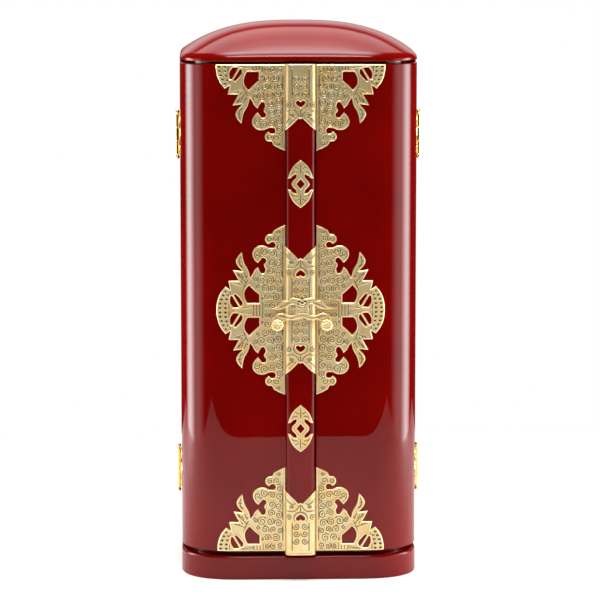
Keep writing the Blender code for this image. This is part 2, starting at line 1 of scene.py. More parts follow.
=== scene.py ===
# %% [markdown]
# # A portable shrine in red lacquer and gilt brass
# The real object is a small cabinet of wood, brushed with many coats of vermilion lacquer
# and rubbed until it mirrors the room. Two bowed doors wrap round its front corners, and
# openwork plates, sleeves and a latch of gilt brass dress them. This lesson builds its
# looks piece by piece round a frame of plain solids that is already the right size.

# %% [markdown]
# ## Load the frame
# The frame holds one plain solid for every part, in metres, with Z up and the front
# towards minus Y. It is loaded first.

# %% Load the frame
import math

import bmesh
import bpy
import numpy as np
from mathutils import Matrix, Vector


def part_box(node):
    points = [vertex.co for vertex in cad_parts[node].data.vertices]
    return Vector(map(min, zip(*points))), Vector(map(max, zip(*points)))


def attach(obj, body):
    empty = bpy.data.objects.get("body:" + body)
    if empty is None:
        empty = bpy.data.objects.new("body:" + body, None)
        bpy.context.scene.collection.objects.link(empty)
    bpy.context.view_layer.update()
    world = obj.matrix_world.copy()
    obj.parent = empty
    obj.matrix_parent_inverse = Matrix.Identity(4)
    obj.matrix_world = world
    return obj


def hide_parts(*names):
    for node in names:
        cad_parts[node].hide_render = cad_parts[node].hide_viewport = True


MM = 0.001
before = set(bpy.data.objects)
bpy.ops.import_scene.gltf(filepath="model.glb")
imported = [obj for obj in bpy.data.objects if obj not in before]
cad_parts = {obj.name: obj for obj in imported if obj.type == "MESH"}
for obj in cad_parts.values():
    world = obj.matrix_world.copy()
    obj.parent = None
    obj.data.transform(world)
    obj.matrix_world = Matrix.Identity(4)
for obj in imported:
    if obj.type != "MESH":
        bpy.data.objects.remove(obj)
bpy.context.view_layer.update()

# %% [markdown]
# ## The camera
# The cabinet was seen from the front, a little to its left and from above, with a long
# lens. The place and the lens were worked out from the spacing of the doors, the roof and
# the hinges, so they are typed in here as plain numbers.

# %% Make the camera
camera_data = bpy.data.cameras.new("long_lens")
camera = bpy.data.objects.new("camera", camera_data)
bpy.context.scene.collection.objects.link(camera)
camera.location = (-0.1086, -3.273, 0.715)
aim = Vector((0.0033, 0, 0.302))
camera.rotation_euler = (aim - camera.location).to_track_quat("-Z", "Y").to_euler()
camera_data.sensor_width = 36
camera_data.lens = 173.2
bpy.context.scene.camera = camera
bpy.context.scene.view_settings.view_transform = "Standard"
print("camera distance in m:", round((aim - camera.location).length, 3))

# %% [markdown]
# ## Two helpers for nodes and colours
# Colours are picked as the hex codes that a screen shows, but a renderer counts light, so
# one function turns a hex code to linear light. Another adds a node: it sets the node's
# options, and then sets each input to a value or links it to another node's output.

# %% Helpers for nodes and colours
def linear(code):
    """Turn a hex colour such as 7a0606 into linear red, green, blue and alpha."""
    shares = [int(code[i:i + 2], 16) / 255 for i in (0, 2, 4)]
    return (*[s / 12.92 if s <= 0.04045 else ((s + 0.055) / 1.055) ** 2.4 for s in shares], 1)


def add_node(tree, kind, inputs=None, **options):
    """Add a node, set its options, and set or link its inputs."""
    node = tree.nodes.new("ShaderNode" + kind)
    for option, value in options.items():
        setattr(node, option, value)
    for name, value in (inputs or {}).items():
        if isinstance(value, bpy.types.NodeSocket):
            tree.links.new(value, node.inputs[name])
        else:
            node.inputs[name].default_value = value
    return node


# %% [markdown]
# ## The studio
# Lacquer is a dark mirror, so most of its look is the room. The front of the room is dark,
# which keeps the doors deep red, and everything bright is a lamp. Only the camera itself
# sees a white background: every other ray meets a dim room.

# %% Make the world
world = bpy.data.worlds.new("studio")
bpy.context.scene.world = world
world.use_nodes = True
room = world.node_tree
room.nodes.clear()
rays = add_node(room, "LightPath")
dim = add_node(room, "Background", {"Color": linear("ffffff"), "Strength": 0.02})
white = add_node(room, "Background", {"Color": linear("ffffff"), "Strength": 1.0})
either = add_node(room, "MixShader", {0: rays.outputs["Is Camera Ray"],
                                      1: dim.outputs[0], 2: white.outputs[0]})
add_node(room, "OutputWorld", {"Surface": either.outputs[0]})


# %% [markdown]
# ## The lamps
# Each lamp is a soft panel that fades towards its edges, so the lacquer shows long, soft
# bands of light and no hard frames. The panels beside the cabinet are low: only the faces
# that look straight at them mirror them, and they hardly brighten the red itself.

# %% Hang the lamps
def soft_lamp(name, place, towards, across, along, radiance, fade_across, fade_along):
    """Add a rectangular lamp whose brightness fades towards its edges."""
    data = bpy.data.lights.new(name, "AREA")
    data.shape = "RECTANGLE"
    data.size = across
    data.size_y = along
    data.energy = radiance * across * along * math.pi
    data.use_nodes = True
    tree = data.node_tree
    tree.nodes.clear()
    spot = add_node(tree, "NewGeometry")
    parts = add_node(tree, "SeparateXYZ", {0: spot.outputs["Parametric"]})
    strength = None
    for axis, fade in (("X", fade_across), ("Y", fade_along)):
        middle = add_node(tree, "Math", {0: parts.outputs[axis], 1: 0.5}, operation="SUBTRACT")
        away = add_node(tree, "Math", {0: middle.outputs[0]}, operation="ABSOLUTE")
        share = add_node(tree, "MapRange", {0: away.outputs[0], 1: 0.5 - fade / 2, 2: 0.5,
                                            3: 1.0, 4: 0.0}, interpolation_type="SMOOTHSTEP")
        if strength is None:
            strength = share.outputs[0]
        else:
            product = add_node(tree, "Math", {0: strength, 1: share.outputs[0]},
                               operation="MULTIPLY")
            strength = product.outputs[0]
    glow = add_node(tree, "Emission", {"Color": (1, 1, 1, 1), "Strength": strength})
    add_node(tree, "OutputLight", {"Surface": glow.outputs[0]})
    lamp = bpy.data.objects.new(name, data)
    bpy.context.scene.collection.objects.link(lamp)
    lamp.location = place
    lamp.rotation_euler = (Vector(towards) - Vector(place)).to_track_quat("-Z", "Y").to_euler()
    lamp.visible_camera = False
    return lamp


def round_the_shrine(azimuth, distance, height):
    """A place at an angle from straight ahead, positive to the right of the shrine."""
    turn = math.radians(azimuth)
    return (distance * math.sin(turn), -distance * math.cos(turn), height)


LOW = (0, 0, 0.32)
soft_lamp("left_strip", round_the_shrine(-105, 1.04, 0.32), LOW, 0.8, 0.72, 15, 1, 0.05)
soft_lamp("right_strip", round_the_shrine(97, 1.04, 0.32), LOW, 0.8, 0.72, 15, 1, 0.05)
soft_lamp("left_wall", round_the_shrine(-78, 1.1, 0.32), LOW, 0.8, 0.72, 2.8, 1, 0.05)
soft_lamp("right_wall", round_the_shrine(72, 1.1, 0.32), LOW, 0.9, 0.72, 3.2, 1, 0.05)
soft_lamp("overhead", (0, -0.35, 1.9), (0, -0.35, 0), 1.4, 1.9, 15, 0.8, 1)
soft_lamp("front_top", (0, -1.7, 2.1), (0, 0, 0.5), 1.4, 0.5, 17, 0.6, 0.3)
soft_lamp("ceiling", (0, 1.5, 2.6), (0, 0.6, 0), 3.0, 2.4, 3.0, 0.5, 0.5)
soft_lamp("back_wall", (0, 2.7, 1.3), (0, 0, 0.9), 4.0, 2.0, 1.3, 0.3, 0.9)

# %% [markdown]
# ## The floor
# The floor is a pale matt board. It ends about a metre in front of the doors, and that edge
# shows in them as a level line, pale below and deep red above.

# %% Lay the floor
FLOOR_FRONT = -1.03
FLOOR_BACK = 0.85
FLOOR_WIDTH = 1.96
floor_paint = bpy.data.materials.new("matt_white_board")
floor_paint.use_nodes = True
board = floor_paint.node_tree.nodes["Principled BSDF"]
board.inputs["Base Color"].default_value = linear("f4f2ef")
board.inputs["Roughness"].default_value = 0.9
bpy.ops.object.select_all(action="DESELECT")
bpy.ops.mesh.primitive_plane_add(size=1)
floor = bpy.context.object
floor.name = "floor"
floor.scale = (FLOOR_WIDTH, FLOOR_BACK - FLOOR_FRONT, 1)
floor.location = (0, (FLOOR_BACK + FLOOR_FRONT) / 2, 0)
bpy.ops.object.transform_apply(location=True, rotation=True, scale=True)
floor.data.materials.append(floor_paint)
print("floor in m:", [round(side, 2) for side in floor.dimensions])

# %% [markdown]
# ## Vermilion lacquer
# Urushi lacquer is a tree sap coloured with cinnabar, brushed on in many thin coats and
# polished with powder and oil. That gives a deep, clean red under a layer as clear as
# glass. The red is a rough base, the clear layer is the coat, and a very faint, long wave
# in the surface keeps the mirror from looking like plastic.

# %% Make the lacquer
def new_finish(name):
    """Start a material and return it with its tree, its shader and Object coordinates."""
    material = bpy.data.materials.new(name)
    material.use_nodes = True
    tree = material.node_tree
    shader = tree.nodes["Principled BSDF"]
    place = add_node(tree, "TexCoord").outputs["Object"]
    return material, tree, shader, place


lacquer, tree, shader, place = new_finish("urushi_lacquer")
cloud = add_node(tree, "TexNoise", {"Vector": place, "Scale": 1 / (90 * MM), "Detail": 3})
depth = add_node(tree, "ValToRGB", {"Fac": cloud.outputs["Fac"]})
depth.color_ramp.elements[0].position = 0.35
depth.color_ramp.elements[0].color = linear("660301")
depth.color_ramp.elements[1].position = 0.7
depth.color_ramp.elements[1].color = linear("720402")
tree.links.new(depth.outputs["Color"], shader.inputs["Base Color"])
shader.inputs["Roughness"].default_value = 0.45
shader.inputs["Specular IOR Level"].default_value = 0.0
shader.inputs["Coat Weight"].default_value = 0.5
shader.inputs["Coat Roughness"].default_value = 0.015
shader.inputs["Coat IOR"].default_value = 1.5
wave = add_node(tree, "TexNoise", {"Vector": place, "Scale": 1 / (35 * MM), "Detail": 1})
swell = add_node(tree, "Bump", {"Height": wave.outputs["Fac"], "Strength": 0.03,
                                "Distance": 1 * MM})
tree.links.new(swell.outputs["Normal"], shader.inputs["Coat Normal"])
print("made", lacquer.name)

# %% [markdown]
# ## Gold leaf
# Gold leaf comes in small squares that are laid edge over edge. Each square has a tone of
# its own, a darker line where it laps the next, and fine creases. White noise on the
# squares' numbers gives the tones, and a wrapped distance gives the laps.

# %% Make the gold ground
gold_ground, tree, shader, place = new_finish("gold_leaf_ground")
LEAF_SIDE = 33.3 * MM
joints = []
parts = add_node(tree, "SeparateXYZ", {0: place})
for axis in "XYZ":
    share = add_node(tree, "Math", {0: parts.outputs[axis], 1: 1 / LEAF_SIDE},
                     operation="MULTIPLY")
    fraction = add_node(tree, "Math", {0: share.outputs[0]}, operation="FRACT")
    away = add_node(tree, "Math", {0: fraction.outputs[0], 1: 0.5}, operation="SUBTRACT")
    away = add_node(tree, "Math", {0: away.outputs[0]}, operation="ABSOLUTE")
    lap = add_node(tree, "MapRange", {0: away.outputs[0], 1: 0.475, 2: 0.5, 3: 0.0, 4: 0.35})
    joints.append(lap.outputs[0])
laps = add_node(tree, "Math", {0: joints[0], 1: joints[1]}, operation="MAXIMUM")
laps = add_node(tree, "Math", {0: laps.outputs[0], 1: joints[2]}, operation="MAXIMUM")
squares = add_node(tree, "VectorMath", {0: place, 1: (LEAF_SIDE,) * 3}, operation="DIVIDE")
squares = add_node(tree, "VectorMath", {0: squares.outputs[0]}, operation="FLOOR")
chance = add_node(tree, "TexWhiteNoise", {"Vector": squares.outputs[0]})
tone = add_node(tree, "ValToRGB", {"Fac": chance.outputs["Value"]})
tone.color_ramp.elements[0].color = linear("d9a648")
tone.color_ramp.elements[1].color = linear("e6b95e")
lapped = add_node(tree, "Mix", {0: laps.outputs[0], 6: tone.outputs["Color"],
                                7: linear("a8702a")}, data_type="RGBA")
tree.links.new(lapped.outputs[2], shader.inputs["Base Color"])
shader.inputs["Metallic"].default_value = 0.8
wrinkle = add_node(tree, "TexNoise", {"Vector": place, "Scale": 1 / (2.5 * MM), "Detail": 4})
rough = add_node(tree, "MapRange", {0: wrinkle.outputs["Fac"], 1: 0.3, 2: 0.7, 3: 0.34, 4: 0.5})
tree.links.new(rough.outputs[0], shader.inputs["Roughness"])
crease = add_node(tree, "Bump", {"Height": wrinkle.outputs["Fac"], "Strength": 0.15,
                                 "Distance": 0.15 * MM})
tree.links.new(crease.outputs["Normal"], shader.inputs["Normal"])
print("made", gold_ground.name)

# %% [markdown]
# ## Gilt brass
# The fittings are cast or sawn brass, gilded after chasing. The punch work scatters light,
# so the gold is not a clean mirror: part of it is given to a diffuse base. An attribute of
# the mesh darkens the grooves, the pits and the punched ground: partly grime, and partly
# painted shade where the fine relief casts too little shadow of its own.

# %% Make the gilt brass
gilt, tree, shader, place = new_finish("chased_gilt_brass")
grime_and_painted_shade = add_node(tree, "Attribute", attribute_name="grime_and_painted_shade").outputs["Fac"]
tone = add_node(tree, "TexNoise", {"Vector": place, "Scale": 1 / (14 * MM), "Detail": 2})
warmth = add_node(tree, "ValToRGB", {"Fac": tone.outputs["Fac"]})
warmth.color_ramp.elements[0].position = 0.3
warmth.color_ramp.elements[0].color = linear("ffeab8")
warmth.color_ramp.elements[1].position = 0.7
warmth.color_ramp.elements[1].color = linear("fdd994")
# Mixes towards dark brown where the attribute is high: partly grime, partly painted shade in the
# hollows.
grimed_and_shaded = add_node(tree, "Mix", {0: grime_and_painted_shade, 6: warmth.outputs["Color"], 7: linear("2a1c08")},
                data_type="RGBA")
tree.links.new(grimed_and_shaded.outputs[2], shader.inputs["Base Color"])
dull = add_node(tree, "MapRange", {0: grime_and_painted_shade, 1: 0.0, 2: 1.0, 3: 0.3, 4: 0.6})
tree.links.new(dull.outputs[0], shader.inputs["Roughness"])
shader.inputs["Metallic"].default_value = 0.65
grain = add_node(tree, "TexNoise", {"Vector": place, "Scale": 1 / (0.9 * MM), "Detail": 3})
tooling = add_node(tree, "Bump", {"Height": grain.outputs["Fac"], "Strength": 0.25,
                                  "Distance": 0.2 * MM})
tree.links.new(tooling.outputs["Normal"], shader.inputs["Normal"])
print("made", gilt.name)

# %% [markdown]
# ## The roof's lacquer
# The roof is painted a shade lighter than the doors: painted light that stands in for the
# brighter light falling on it from above. The finish is copied, and only the two ends of
# its colour ramp change.

# %% Make a lighter lacquer for the roof
roof_lacquer_painted_lighter = lacquer.copy()
roof_lacquer_painted_lighter.name = "urushi_lacquer_roof_painted_lighter"
ramp = roof_lacquer_painted_lighter.node_tree.nodes[depth.name].color_ramp
# Lighter red ends: painted light for the roof's top.
ramp.elements[0].color = linear("6e0502")
ramp.elements[1].color = linear("7a0603")
print("made", roof_lacquer_painted_lighter.name)

# %% [markdown]
# ## Helpers for modelling by hand
# Most pieces start from a block of the right size. Faces or edges are then picked in code,
# by where they lie, and worked with the same tools that a person would use. When a piece
# is done it is shaded, given its finish and told which part of the frame it moves with.

# %% Helpers for modelling
def only(piece):
    """Select one piece and nothing else."""
    bpy.ops.object.select_all(action="DESELECT")
    piece.select_set(True)
    bpy.context.view_layer.objects.active = piece


def block(name, low, high):
    """Add a block between two corners."""
    bpy.ops.object.select_all(action="DESELECT")
    bpy.ops.mesh.primitive_cube_add(size=1, location=[(a + b) / 2 for a, b in zip(low, high)])
    piece = bpy.context.object
    piece.name = name
    piece.scale = [b - a for a, b in zip(low, high)]
    bpy.ops.object.transform_apply(location=True, rotation=True, scale=True)
    return piece


def pick(piece, kind, wanted):
    """Enter edit mode with just the wanted vertices, edges or faces selected."""
    only(piece)
    bpy.ops.object.mode_set(mode="EDIT")
    bpy.ops.mesh.select_mode(type=kind)
    bpy.ops.mesh.select_all(action="DESELECT")
    form = bmesh.from_edit_mesh(piece.data)
    parts = {"VERT": form.verts, "EDGE": form.edges, "FACE": form.faces}[kind]
    for part in parts:
        if wanted(part):
            part.select_set(True)
    form.select_flush_mode()
    bmesh.update_edit_mesh(piece.data)


def leave_edit():
    """Go back to object mode."""
    bpy.ops.object.mode_set(mode="OBJECT")


def middle_of(edge):
    """The middle of an edge."""
    return (edge.verts[0].co + edge.verts[1].co) / 2


def is_upright(edge):
    """Whether an edge runs straight up."""
    first, second = edge.verts[0].co, edge.verts[1].co
    return (first.xy - second.xy).length < 0.01 * MM and abs(first.z - second.z) > MM


def with_modifier(piece, kind, **settings):
    """Add a modifier, set it and apply it."""
    only(piece)
    tool = piece.modifiers.new(kind.lower(), kind)
    for setting, value in settings.items():
        setattr(tool, setting, value)
    bpy.ops.object.modifier_apply(modifier=tool.name)


def round_edges(piece, width, segments, angle=40):
    """Round every edge that is sharper than an angle."""
    with_modifier(piece, "BEVEL", width=width, segments=segments, limit_method="ANGLE",
                  angle_limit=math.radians(angle), use_clamp_overlap=False)


def finish_piece(piece, body, materials, nodes, angle=32):
    """Shade a piece, dress it, and let it ride on its body in place of its frame nodes."""
    only(piece)
    bpy.ops.object.shade_smooth_by_angle(angle=math.radians(angle), keep_sharp_edges=False)
    with_modifier(piece, "WEIGHTED_NORMAL", mode="FACE_AREA", weight=50, keep_sharp=True)
    for material in materials:
        piece.data.materials.append(material)
    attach(piece, body)
    if nodes:
        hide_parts(*nodes)
    size = [round(side / MM, 1) for side in piece.dimensions]
    print(piece.name, "in mm:", size, "faces:", len(piece.data.polygons))


# %% [markdown]
# ## The base
# The base is a slab as wide and deep as the cabinet. Its front corners aren't quarter
# circles: they leave the flat front very gently and turn harder in the middle. Bevelling
# the two upright edges with a profile of 0.574 draws just such a curve, a superellipse of
# exponent 2.5, in one step.

# %% Model the base
base_low, base_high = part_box("base")
HALF_WIDTH = base_high.x
FRONT = base_low.y
REAR = base_high.y
CORNER_REACH = 68 * MM
CORNER_PROFILE = 0.574
CORNER_STEPS = 40
BASE_TOP_ROUND = 3 * MM
BASE_FOOT_ROUND = 0.8 * MM


def round_front_corners(piece, reach, front, steps=CORNER_STEPS):
    """Turn the two upright front edges of a block into long soft corners."""
    pick(piece, "EDGE", lambda e: is_upright(e) and middle_of(e).y < front + MM)
    bpy.ops.mesh.bevel(offset=reach, segments=steps, profile=CORNER_PROFILE, affect="EDGES")
    leave_edit()


plinth = block("plinth", base_low, base_high)
round_front_corners(plinth, CORNER_REACH, FRONT)
pick(plinth, "EDGE", lambda e: min(v.co.z for v in e.verts) > base_high.z - 0.01 * MM)
bpy.ops.mesh.bevel(offset=BASE_TOP_ROUND, segments=8, profile=0.5, affect="EDGES")
leave_edit()
pick(plinth, "EDGE", lambda e: max(v.co.z for v in e.verts) < 0.01 * MM)
bpy.ops.mesh.bevel(offset=BASE_FOOT_ROUND, segments=3, profile=0.5, affect="EDGES")
leave_edit()
finish_piece(plinth, "case", [lacquer], ["base"])

# %% [markdown]
# ## The doors
# Each door is a wall that wraps round a front corner. Both are cut from one hollow tube
# with the base's plan: a block loses its top and bottom, is cut at the seam and at the
# hinge line, and what is left is thickened inwards. The edges are then rounded, as a
# brushed coat never leaves a sharp one.

# %% Model the doors
DOOR_THICKNESS = 11 * MM
DOOR_ROUND = 1.5 * MM


def cut_away(piece, place, towards):
    """Cut a piece with a plane and remove what lies on the side that the arrow shows."""
    pick(piece, "FACE", lambda f: True)
    bpy.ops.mesh.bisect(plane_co=place, plane_no=towards, clear_outer=True)
    leave_edit()


def keep_walls(piece):
    """Delete the faces that look up or down."""
    pick(piece, "FACE", lambda f: abs(f.normal.z) > 0.5)
    bpy.ops.mesh.delete(type="FACE")
    leave_edit()


for name in ("left_door", "right_door"):
    low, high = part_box(name)
    side = -1 if name.startswith("left") else 1
    shell = block(name + "_wall", (-HALF_WIDTH, FRONT, low.z), (HALF_WIDTH, REAR, high.z))
    round_front_corners(shell, CORNER_REACH, FRONT)
    keep_walls(shell)
    cut_away(shell, (0, high.y, 0), (0, 1, 0))
    seam = high.x if side < 0 else low.x
    cut_away(shell, (seam, 0, 0), (-side, 0, 0))
    with_modifier(shell, "SOLIDIFY", thickness=DOOR_THICKNESS, offset=-1, use_even_offset=True)
    round_edges(shell, DOOR_ROUND, 5)
    finish_piece(shell, name, [lacquer], [name])

# %% [markdown]
# ## The case behind the doors
# The sides and the back are one box without a front, thickened inwards as the doors are.
# The two outer corners at the back are rounded only afterwards, because a round that is
# smaller than the wall is thick would fold over itself inside.

# %% Model the case
WALL_THICKNESS = 9.7 * MM
REAR_CORNER = 4 * MM
WALL_ROUND = 1.2 * MM
side_low, side_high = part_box("left_side")
case_walls = block("case_walls", (-HALF_WIDTH, side_low.y, side_low.z),
                   (HALF_WIDTH, REAR, side_high.z))
keep_walls(case_walls)
pick(case_walls, "FACE", lambda f: f.normal.y < -0.5)
bpy.ops.mesh.delete(type="FACE")
leave_edit()
with_modifier(case_walls, "SOLIDIFY", thickness=WALL_THICKNESS, offset=-1, use_even_offset=True)
pick(case_walls, "EDGE", lambda e: is_upright(e) and middle_of(e).y > REAR - MM)
bpy.ops.mesh.bevel(offset=REAR_CORNER, segments=8, profile=0.5, affect="EDGES")
leave_edit()
round_edges(case_walls, WALL_ROUND, 4)
finish_piece(case_walls, "case", [lacquer], ["left_side", "right_side", "back_board"])

# %% [markdown]
# ## The roof
# The roof is a pillow: nearly flat in the middle, and falling faster and faster to a
# straight lip. A dense grid is laid over the plan, and its points are lifted by one formula
# that also rounds them over near the rim. The rim is then drawn down into the lip.

# %% Model the roof
roof_low, roof_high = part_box("roof")
LIP = 6.5 * MM
LIP_ROUND = 4.2 * MM
LIP_FOOT_ROUND = 1 * MM
DOME_POWER = 2.7
DOME_SOFTNESS = 0.9
DOME = roof_high.z - roof_low.z - LIP
SQUARENESS = 2.5
FLAT_HALF = HALF_WIDTH - CORNER_REACH
CORNER_Y = FRONT + CORNER_REACH


def corner_point(turn):
    """A plan point on the right front corner, where its face has turned by an angle."""
    share = math.tan(min(turn, math.pi / 2 - 1e-9)) ** (1 / (SQUARENESS - 1))
    back = CORNER_REACH / (1 + share ** SQUARENESS) ** (1 / SQUARENESS)
    return FLAT_HALF + share * back, CORNER_Y - back


def dome_share(distance):
    """Height of the dome, from 1 in its middle to 0 at its rim."""
    return max(0, 1 - abs(distance) ** DOME_POWER) ** DOME_SOFTNESS


bpy.ops.object.select_all(action="DESELECT")
bpy.ops.mesh.primitive_grid_add(x_subdivisions=108, y_subdivisions=84, size=2)
pillow = bpy.context.object
pillow.name = "roof_pillow"
for point in pillow.data.vertices:
    column, row = point.co.x, math.sin(point.co.y * math.pi / 2)
    turn = max(0, abs(column) - 1 / 3) * 1.5 * math.pi / 2
    corner_x, front = corner_point(turn)
    reach = corner_x - FLAT_HALF + min(abs(column) * 3, 1) * FLAT_HALF
    rise = DOME * dome_share(reach / HALF_WIDTH) * dome_share(row)
    y = front + (REAR - front) * (row + 1) / 2
    from_rim = min((y - front) * math.cos(turn), REAR - y, HALF_WIDTH - reach, LIP_ROUND)
    drop = LIP_ROUND - math.sqrt(LIP_ROUND ** 2 - (LIP_ROUND - max(from_rim, 0)) ** 2)
    point.co = (math.copysign(reach, column), y, roof_low.z + LIP + rise - drop)
pick(pillow, "EDGE", lambda e: e.is_boundary)
bpy.ops.mesh.extrude_region_move(TRANSFORM_OT_translate={"value": (0, 0, LIP_ROUND - LIP)})
bpy.ops.mesh.edge_face_add()
bpy.ops.mesh.select_all(action="SELECT")
bpy.ops.mesh.normals_make_consistent(inside=False)
leave_edit()
pick(pillow, "EDGE", lambda e: max(v.co.z for v in e.verts) < roof_low.z + 0.01 * MM)
bpy.ops.mesh.bevel(offset=LIP_FOOT_ROUND, segments=4, profile=0.5, affect="EDGES")
leave_edit()
finish_piece(pillow, "case", [roof_lacquer_painted_lighter], ["roof"], angle=50)

# %% [markdown]
# ## The upright moulding
# The moulding hides the seam. It is a plain bar whose two front edges are rounded like a
# finger, and it is fixed on the left door.

# %% Model the moulding
BAR_RADIUS = 6 * MM
bar_low, bar_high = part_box("centre_strip")
moulding = block("moulding", bar_low, bar_high)
pick(moulding, "EDGE", lambda e: is_upright(e) and middle_of(e).y < bar_low.y + MM)
bpy.ops.mesh.bevel(offset=BAR_RADIUS, segments=12, profile=0.5, affect="EDGES")
leave_edit()
round_edges(moulding, 0.4 * MM, 2)
finish_piece(moulding, "left_door", [lacquer], ["centre_strip"])

# %% [markdown]
# ## Chased metal: outlines
# The plates are sawn from sheet brass, chased with punches and gilded. Each one is drawn
# flat first, in millimetres, with u outwards from the seam and v up. An outline is a list
# of points that are either sharp or passed smoothly, and a curve turns it into a fine
# line of points.

# %% Helpers for outlines
def corner(u, v):
    """A sharp point of an outline."""
    return (u, v, "VECTOR")


def bend(u, v):
    """A point that an outline passes smoothly."""
    return (u, v, "AUTO")


def drawn(points, closed=True, detail=10):
    """Draw a smooth line through points and return its places in mm."""
    drawing = bpy.data.curves.new("drawing", "CURVE")
    drawing.dimensions = "2D"
    drawing.resolution_u = detail
    spline = drawing.splines.new("BEZIER")
    spline.bezier_points.add(len(points) - 1)
    spline.use_cyclic_u = closed
    for knot, (u, v, handle) in zip(spline.bezier_points, points):
        knot.co = (u, v, 0)
        knot.handle_left_type = handle
        knot.handle_right_type = handle
    item = bpy.data.objects.new("drawing", drawing)
    bpy.context.scene.collection.objects.link(item)
    mesh = item.to_mesh()
    line = np.array([point.co.xy[:] for point in mesh.vertices])
    item.to_mesh_clear()
    bpy.data.objects.remove(item, do_unlink=True)
    return np.vstack([line, line[:1]]) if closed else line


def flipped(points):
    """The same points, mirrored below the middle line, in the opposite order."""
    return [(u, -v, kind) for u, v, kind in reversed(points)]


def both_sides(half):
    """Close the right half of an outline with its mirror image in the upright axis."""
    return half + [(-u, v, kind) for u, v, kind in reversed(half) if u > 0]


PLATE_EDGE = [
    bend(75.4, 8.1), bend(71.8, 18.7), corner(66.2, 26.5), corner(60.6, 23),
    corner(62.7, 32.9), corner(51.4, 32.9), corner(57.8, 44.9), corner(47.2, 43.5),
    bend(54.3, 54), bend(52.2, 60), corner(48, 64.8), bend(45.7, 53.5), bend(40.9, 44.3),
    corner(39.1, 36.5), bend(36, 40.7), bend(34, 44.6), corner(30.3, 48.1), bend(28.2, 43.8),
    bend(24.6, 41), bend(21.9, 45.4), bend(23.6, 50.4), bend(21.1, 55.6), bend(24.6, 58.4),
    bend(27.6, 55.8), corner(30.3, 52.4), bend(34.2, 56.6), bend(36.2, 63.4),
    bend(33.2, 69.4), bend(25.3, 71.9), corner(17.6, 69.4), bend(12.2, 69.9),
    bend(10.9, 73.4), bend(14, 76), corner(18.6, 73.4), bend(22.1, 77.6), bend(20.4, 83.4),
    corner(14.8, 84.6), corner(12.6, 88.8), corner(6.4, 92.2), corner(0, 94.6)]
PLATE_HOLES = [
    [corner(40.1, 28), bend(35.6, 23.4), corner(28.8, 17.4), corner(28.8, 8.1),
     corner(41.8, 8.1), bend(44.6, 13.4), bend(45, 21)],
    [corner(60.8, 16), corner(58.6, 16), corner(51.2, 3.4), corner(57.6, 3.2), bend(61, 8.8)],
    [corner(55.2, 18.4), corner(56.8, 17), corner(49.4, 4.8), corner(48.2, 5),
     bend(47.3, 8.4), bend(50.2, 13.2)]]
whole_plate = [[bend(76.1, 0)] + PLATE_EDGE + flipped(PLATE_EDGE)]
whole_plate += PLATE_HOLES + [flipped(hole) for hole in PLATE_HOLES]
half_plate = [[corner(0, 0), corner(76.1, 0)] + PLATE_EDGE] + PLATE_HOLES
print("points on a half plate:", len(half_plate[0]))


# %% [markdown]
# ## Chased metal: the work on the surface
# The chaser works three things into the sheet: a raised bead along every edge, scrolls cut
# as grooves, and a ground of small round punch marks between them. Here they are worked
# out as a height and a darkness for every point of a fine grid, from its distance to the
# edges and to the drawn lines. The darkness goes to the finish: partly grime in the
# grooves, and partly painted shade in the grooves, the pits, the punched ground and the
# foot of the bead.

# %% Helpers for distances and scrolls
def scroll(u, v, radius, start, turns):
    """A spiral line that winds in to its middle; negative turns wind the other way."""
    steps = int(abs(turns) * 22)
    share = np.linspace(0, 1, steps)
    angle = np.radians(start) + share * turns * 2 * math.pi
    reach = radius * (1 - 0.86 * share)
    return np.stack([u + reach * np.cos(angle), v + reach * np.sin(angle)], axis=1)


def distance_to(lines, points, far=4.0):
    """Distance in mm from each point to the nearest line, up to a limit."""
    nearest = np.full(len(points), far)
    foot = points.copy()
    for line in lines:
        for start in range(0, len(line) - 1, 6):
            piece = line[start:start + 7]
            low, high = piece.min(0) - far, piece.max(0) + far
            near = np.nonzero(((points > low) & (points < high)).all(1))[0]
            for first, second in zip(piece, piece[1:]):
                along = second - first
                length = max(float(along @ along), 1e-12)
                share = np.clip((points[near] - first) @ along / length, 0, 1)
                touch = first + share[:, None] * along
                gap = np.linalg.norm(points[near] - touch, axis=1)
                closer = gap < nearest[near]
                nearest[near[closer]] = gap[closer]
                foot[near[closer]] = touch[closer]
    return nearest, foot


def inside(outlines, points):
    """Whether each point lies inside the first outline and outside the rest."""
    crossings = np.zeros(len(points), int)
    for line in outlines:
        for (u1, v1), (u2, v2) in zip(line, line[1:]):
            if v1 == v2:
                continue
            between = (points[:, 1] > min(v1, v2)) & (points[:, 1] <= max(v1, v2))
            crossing_u = u1 + (points[:, 1] - v1) * (u2 - u1) / (v2 - v1)
            crossings += between & (points[:, 0] < crossing_u)
    return crossings % 2 == 1


def ease(value, low, high):
    """Rise smoothly from 0 at low to 1 at high."""
    share = np.clip((value - low) / (high - low), 0, 1)
    return share * share * (3 - 2 * share)


# %% [markdown]
# ## Chased metal: the sheet itself
# The sheet is a fine grid that is cut to the outline. The points on its rim are moved onto
# the outline, so that the edge is smooth, and the rim is drawn back to give a thickness.

# %% A function that chases a flat sheet
GRID = 0.4


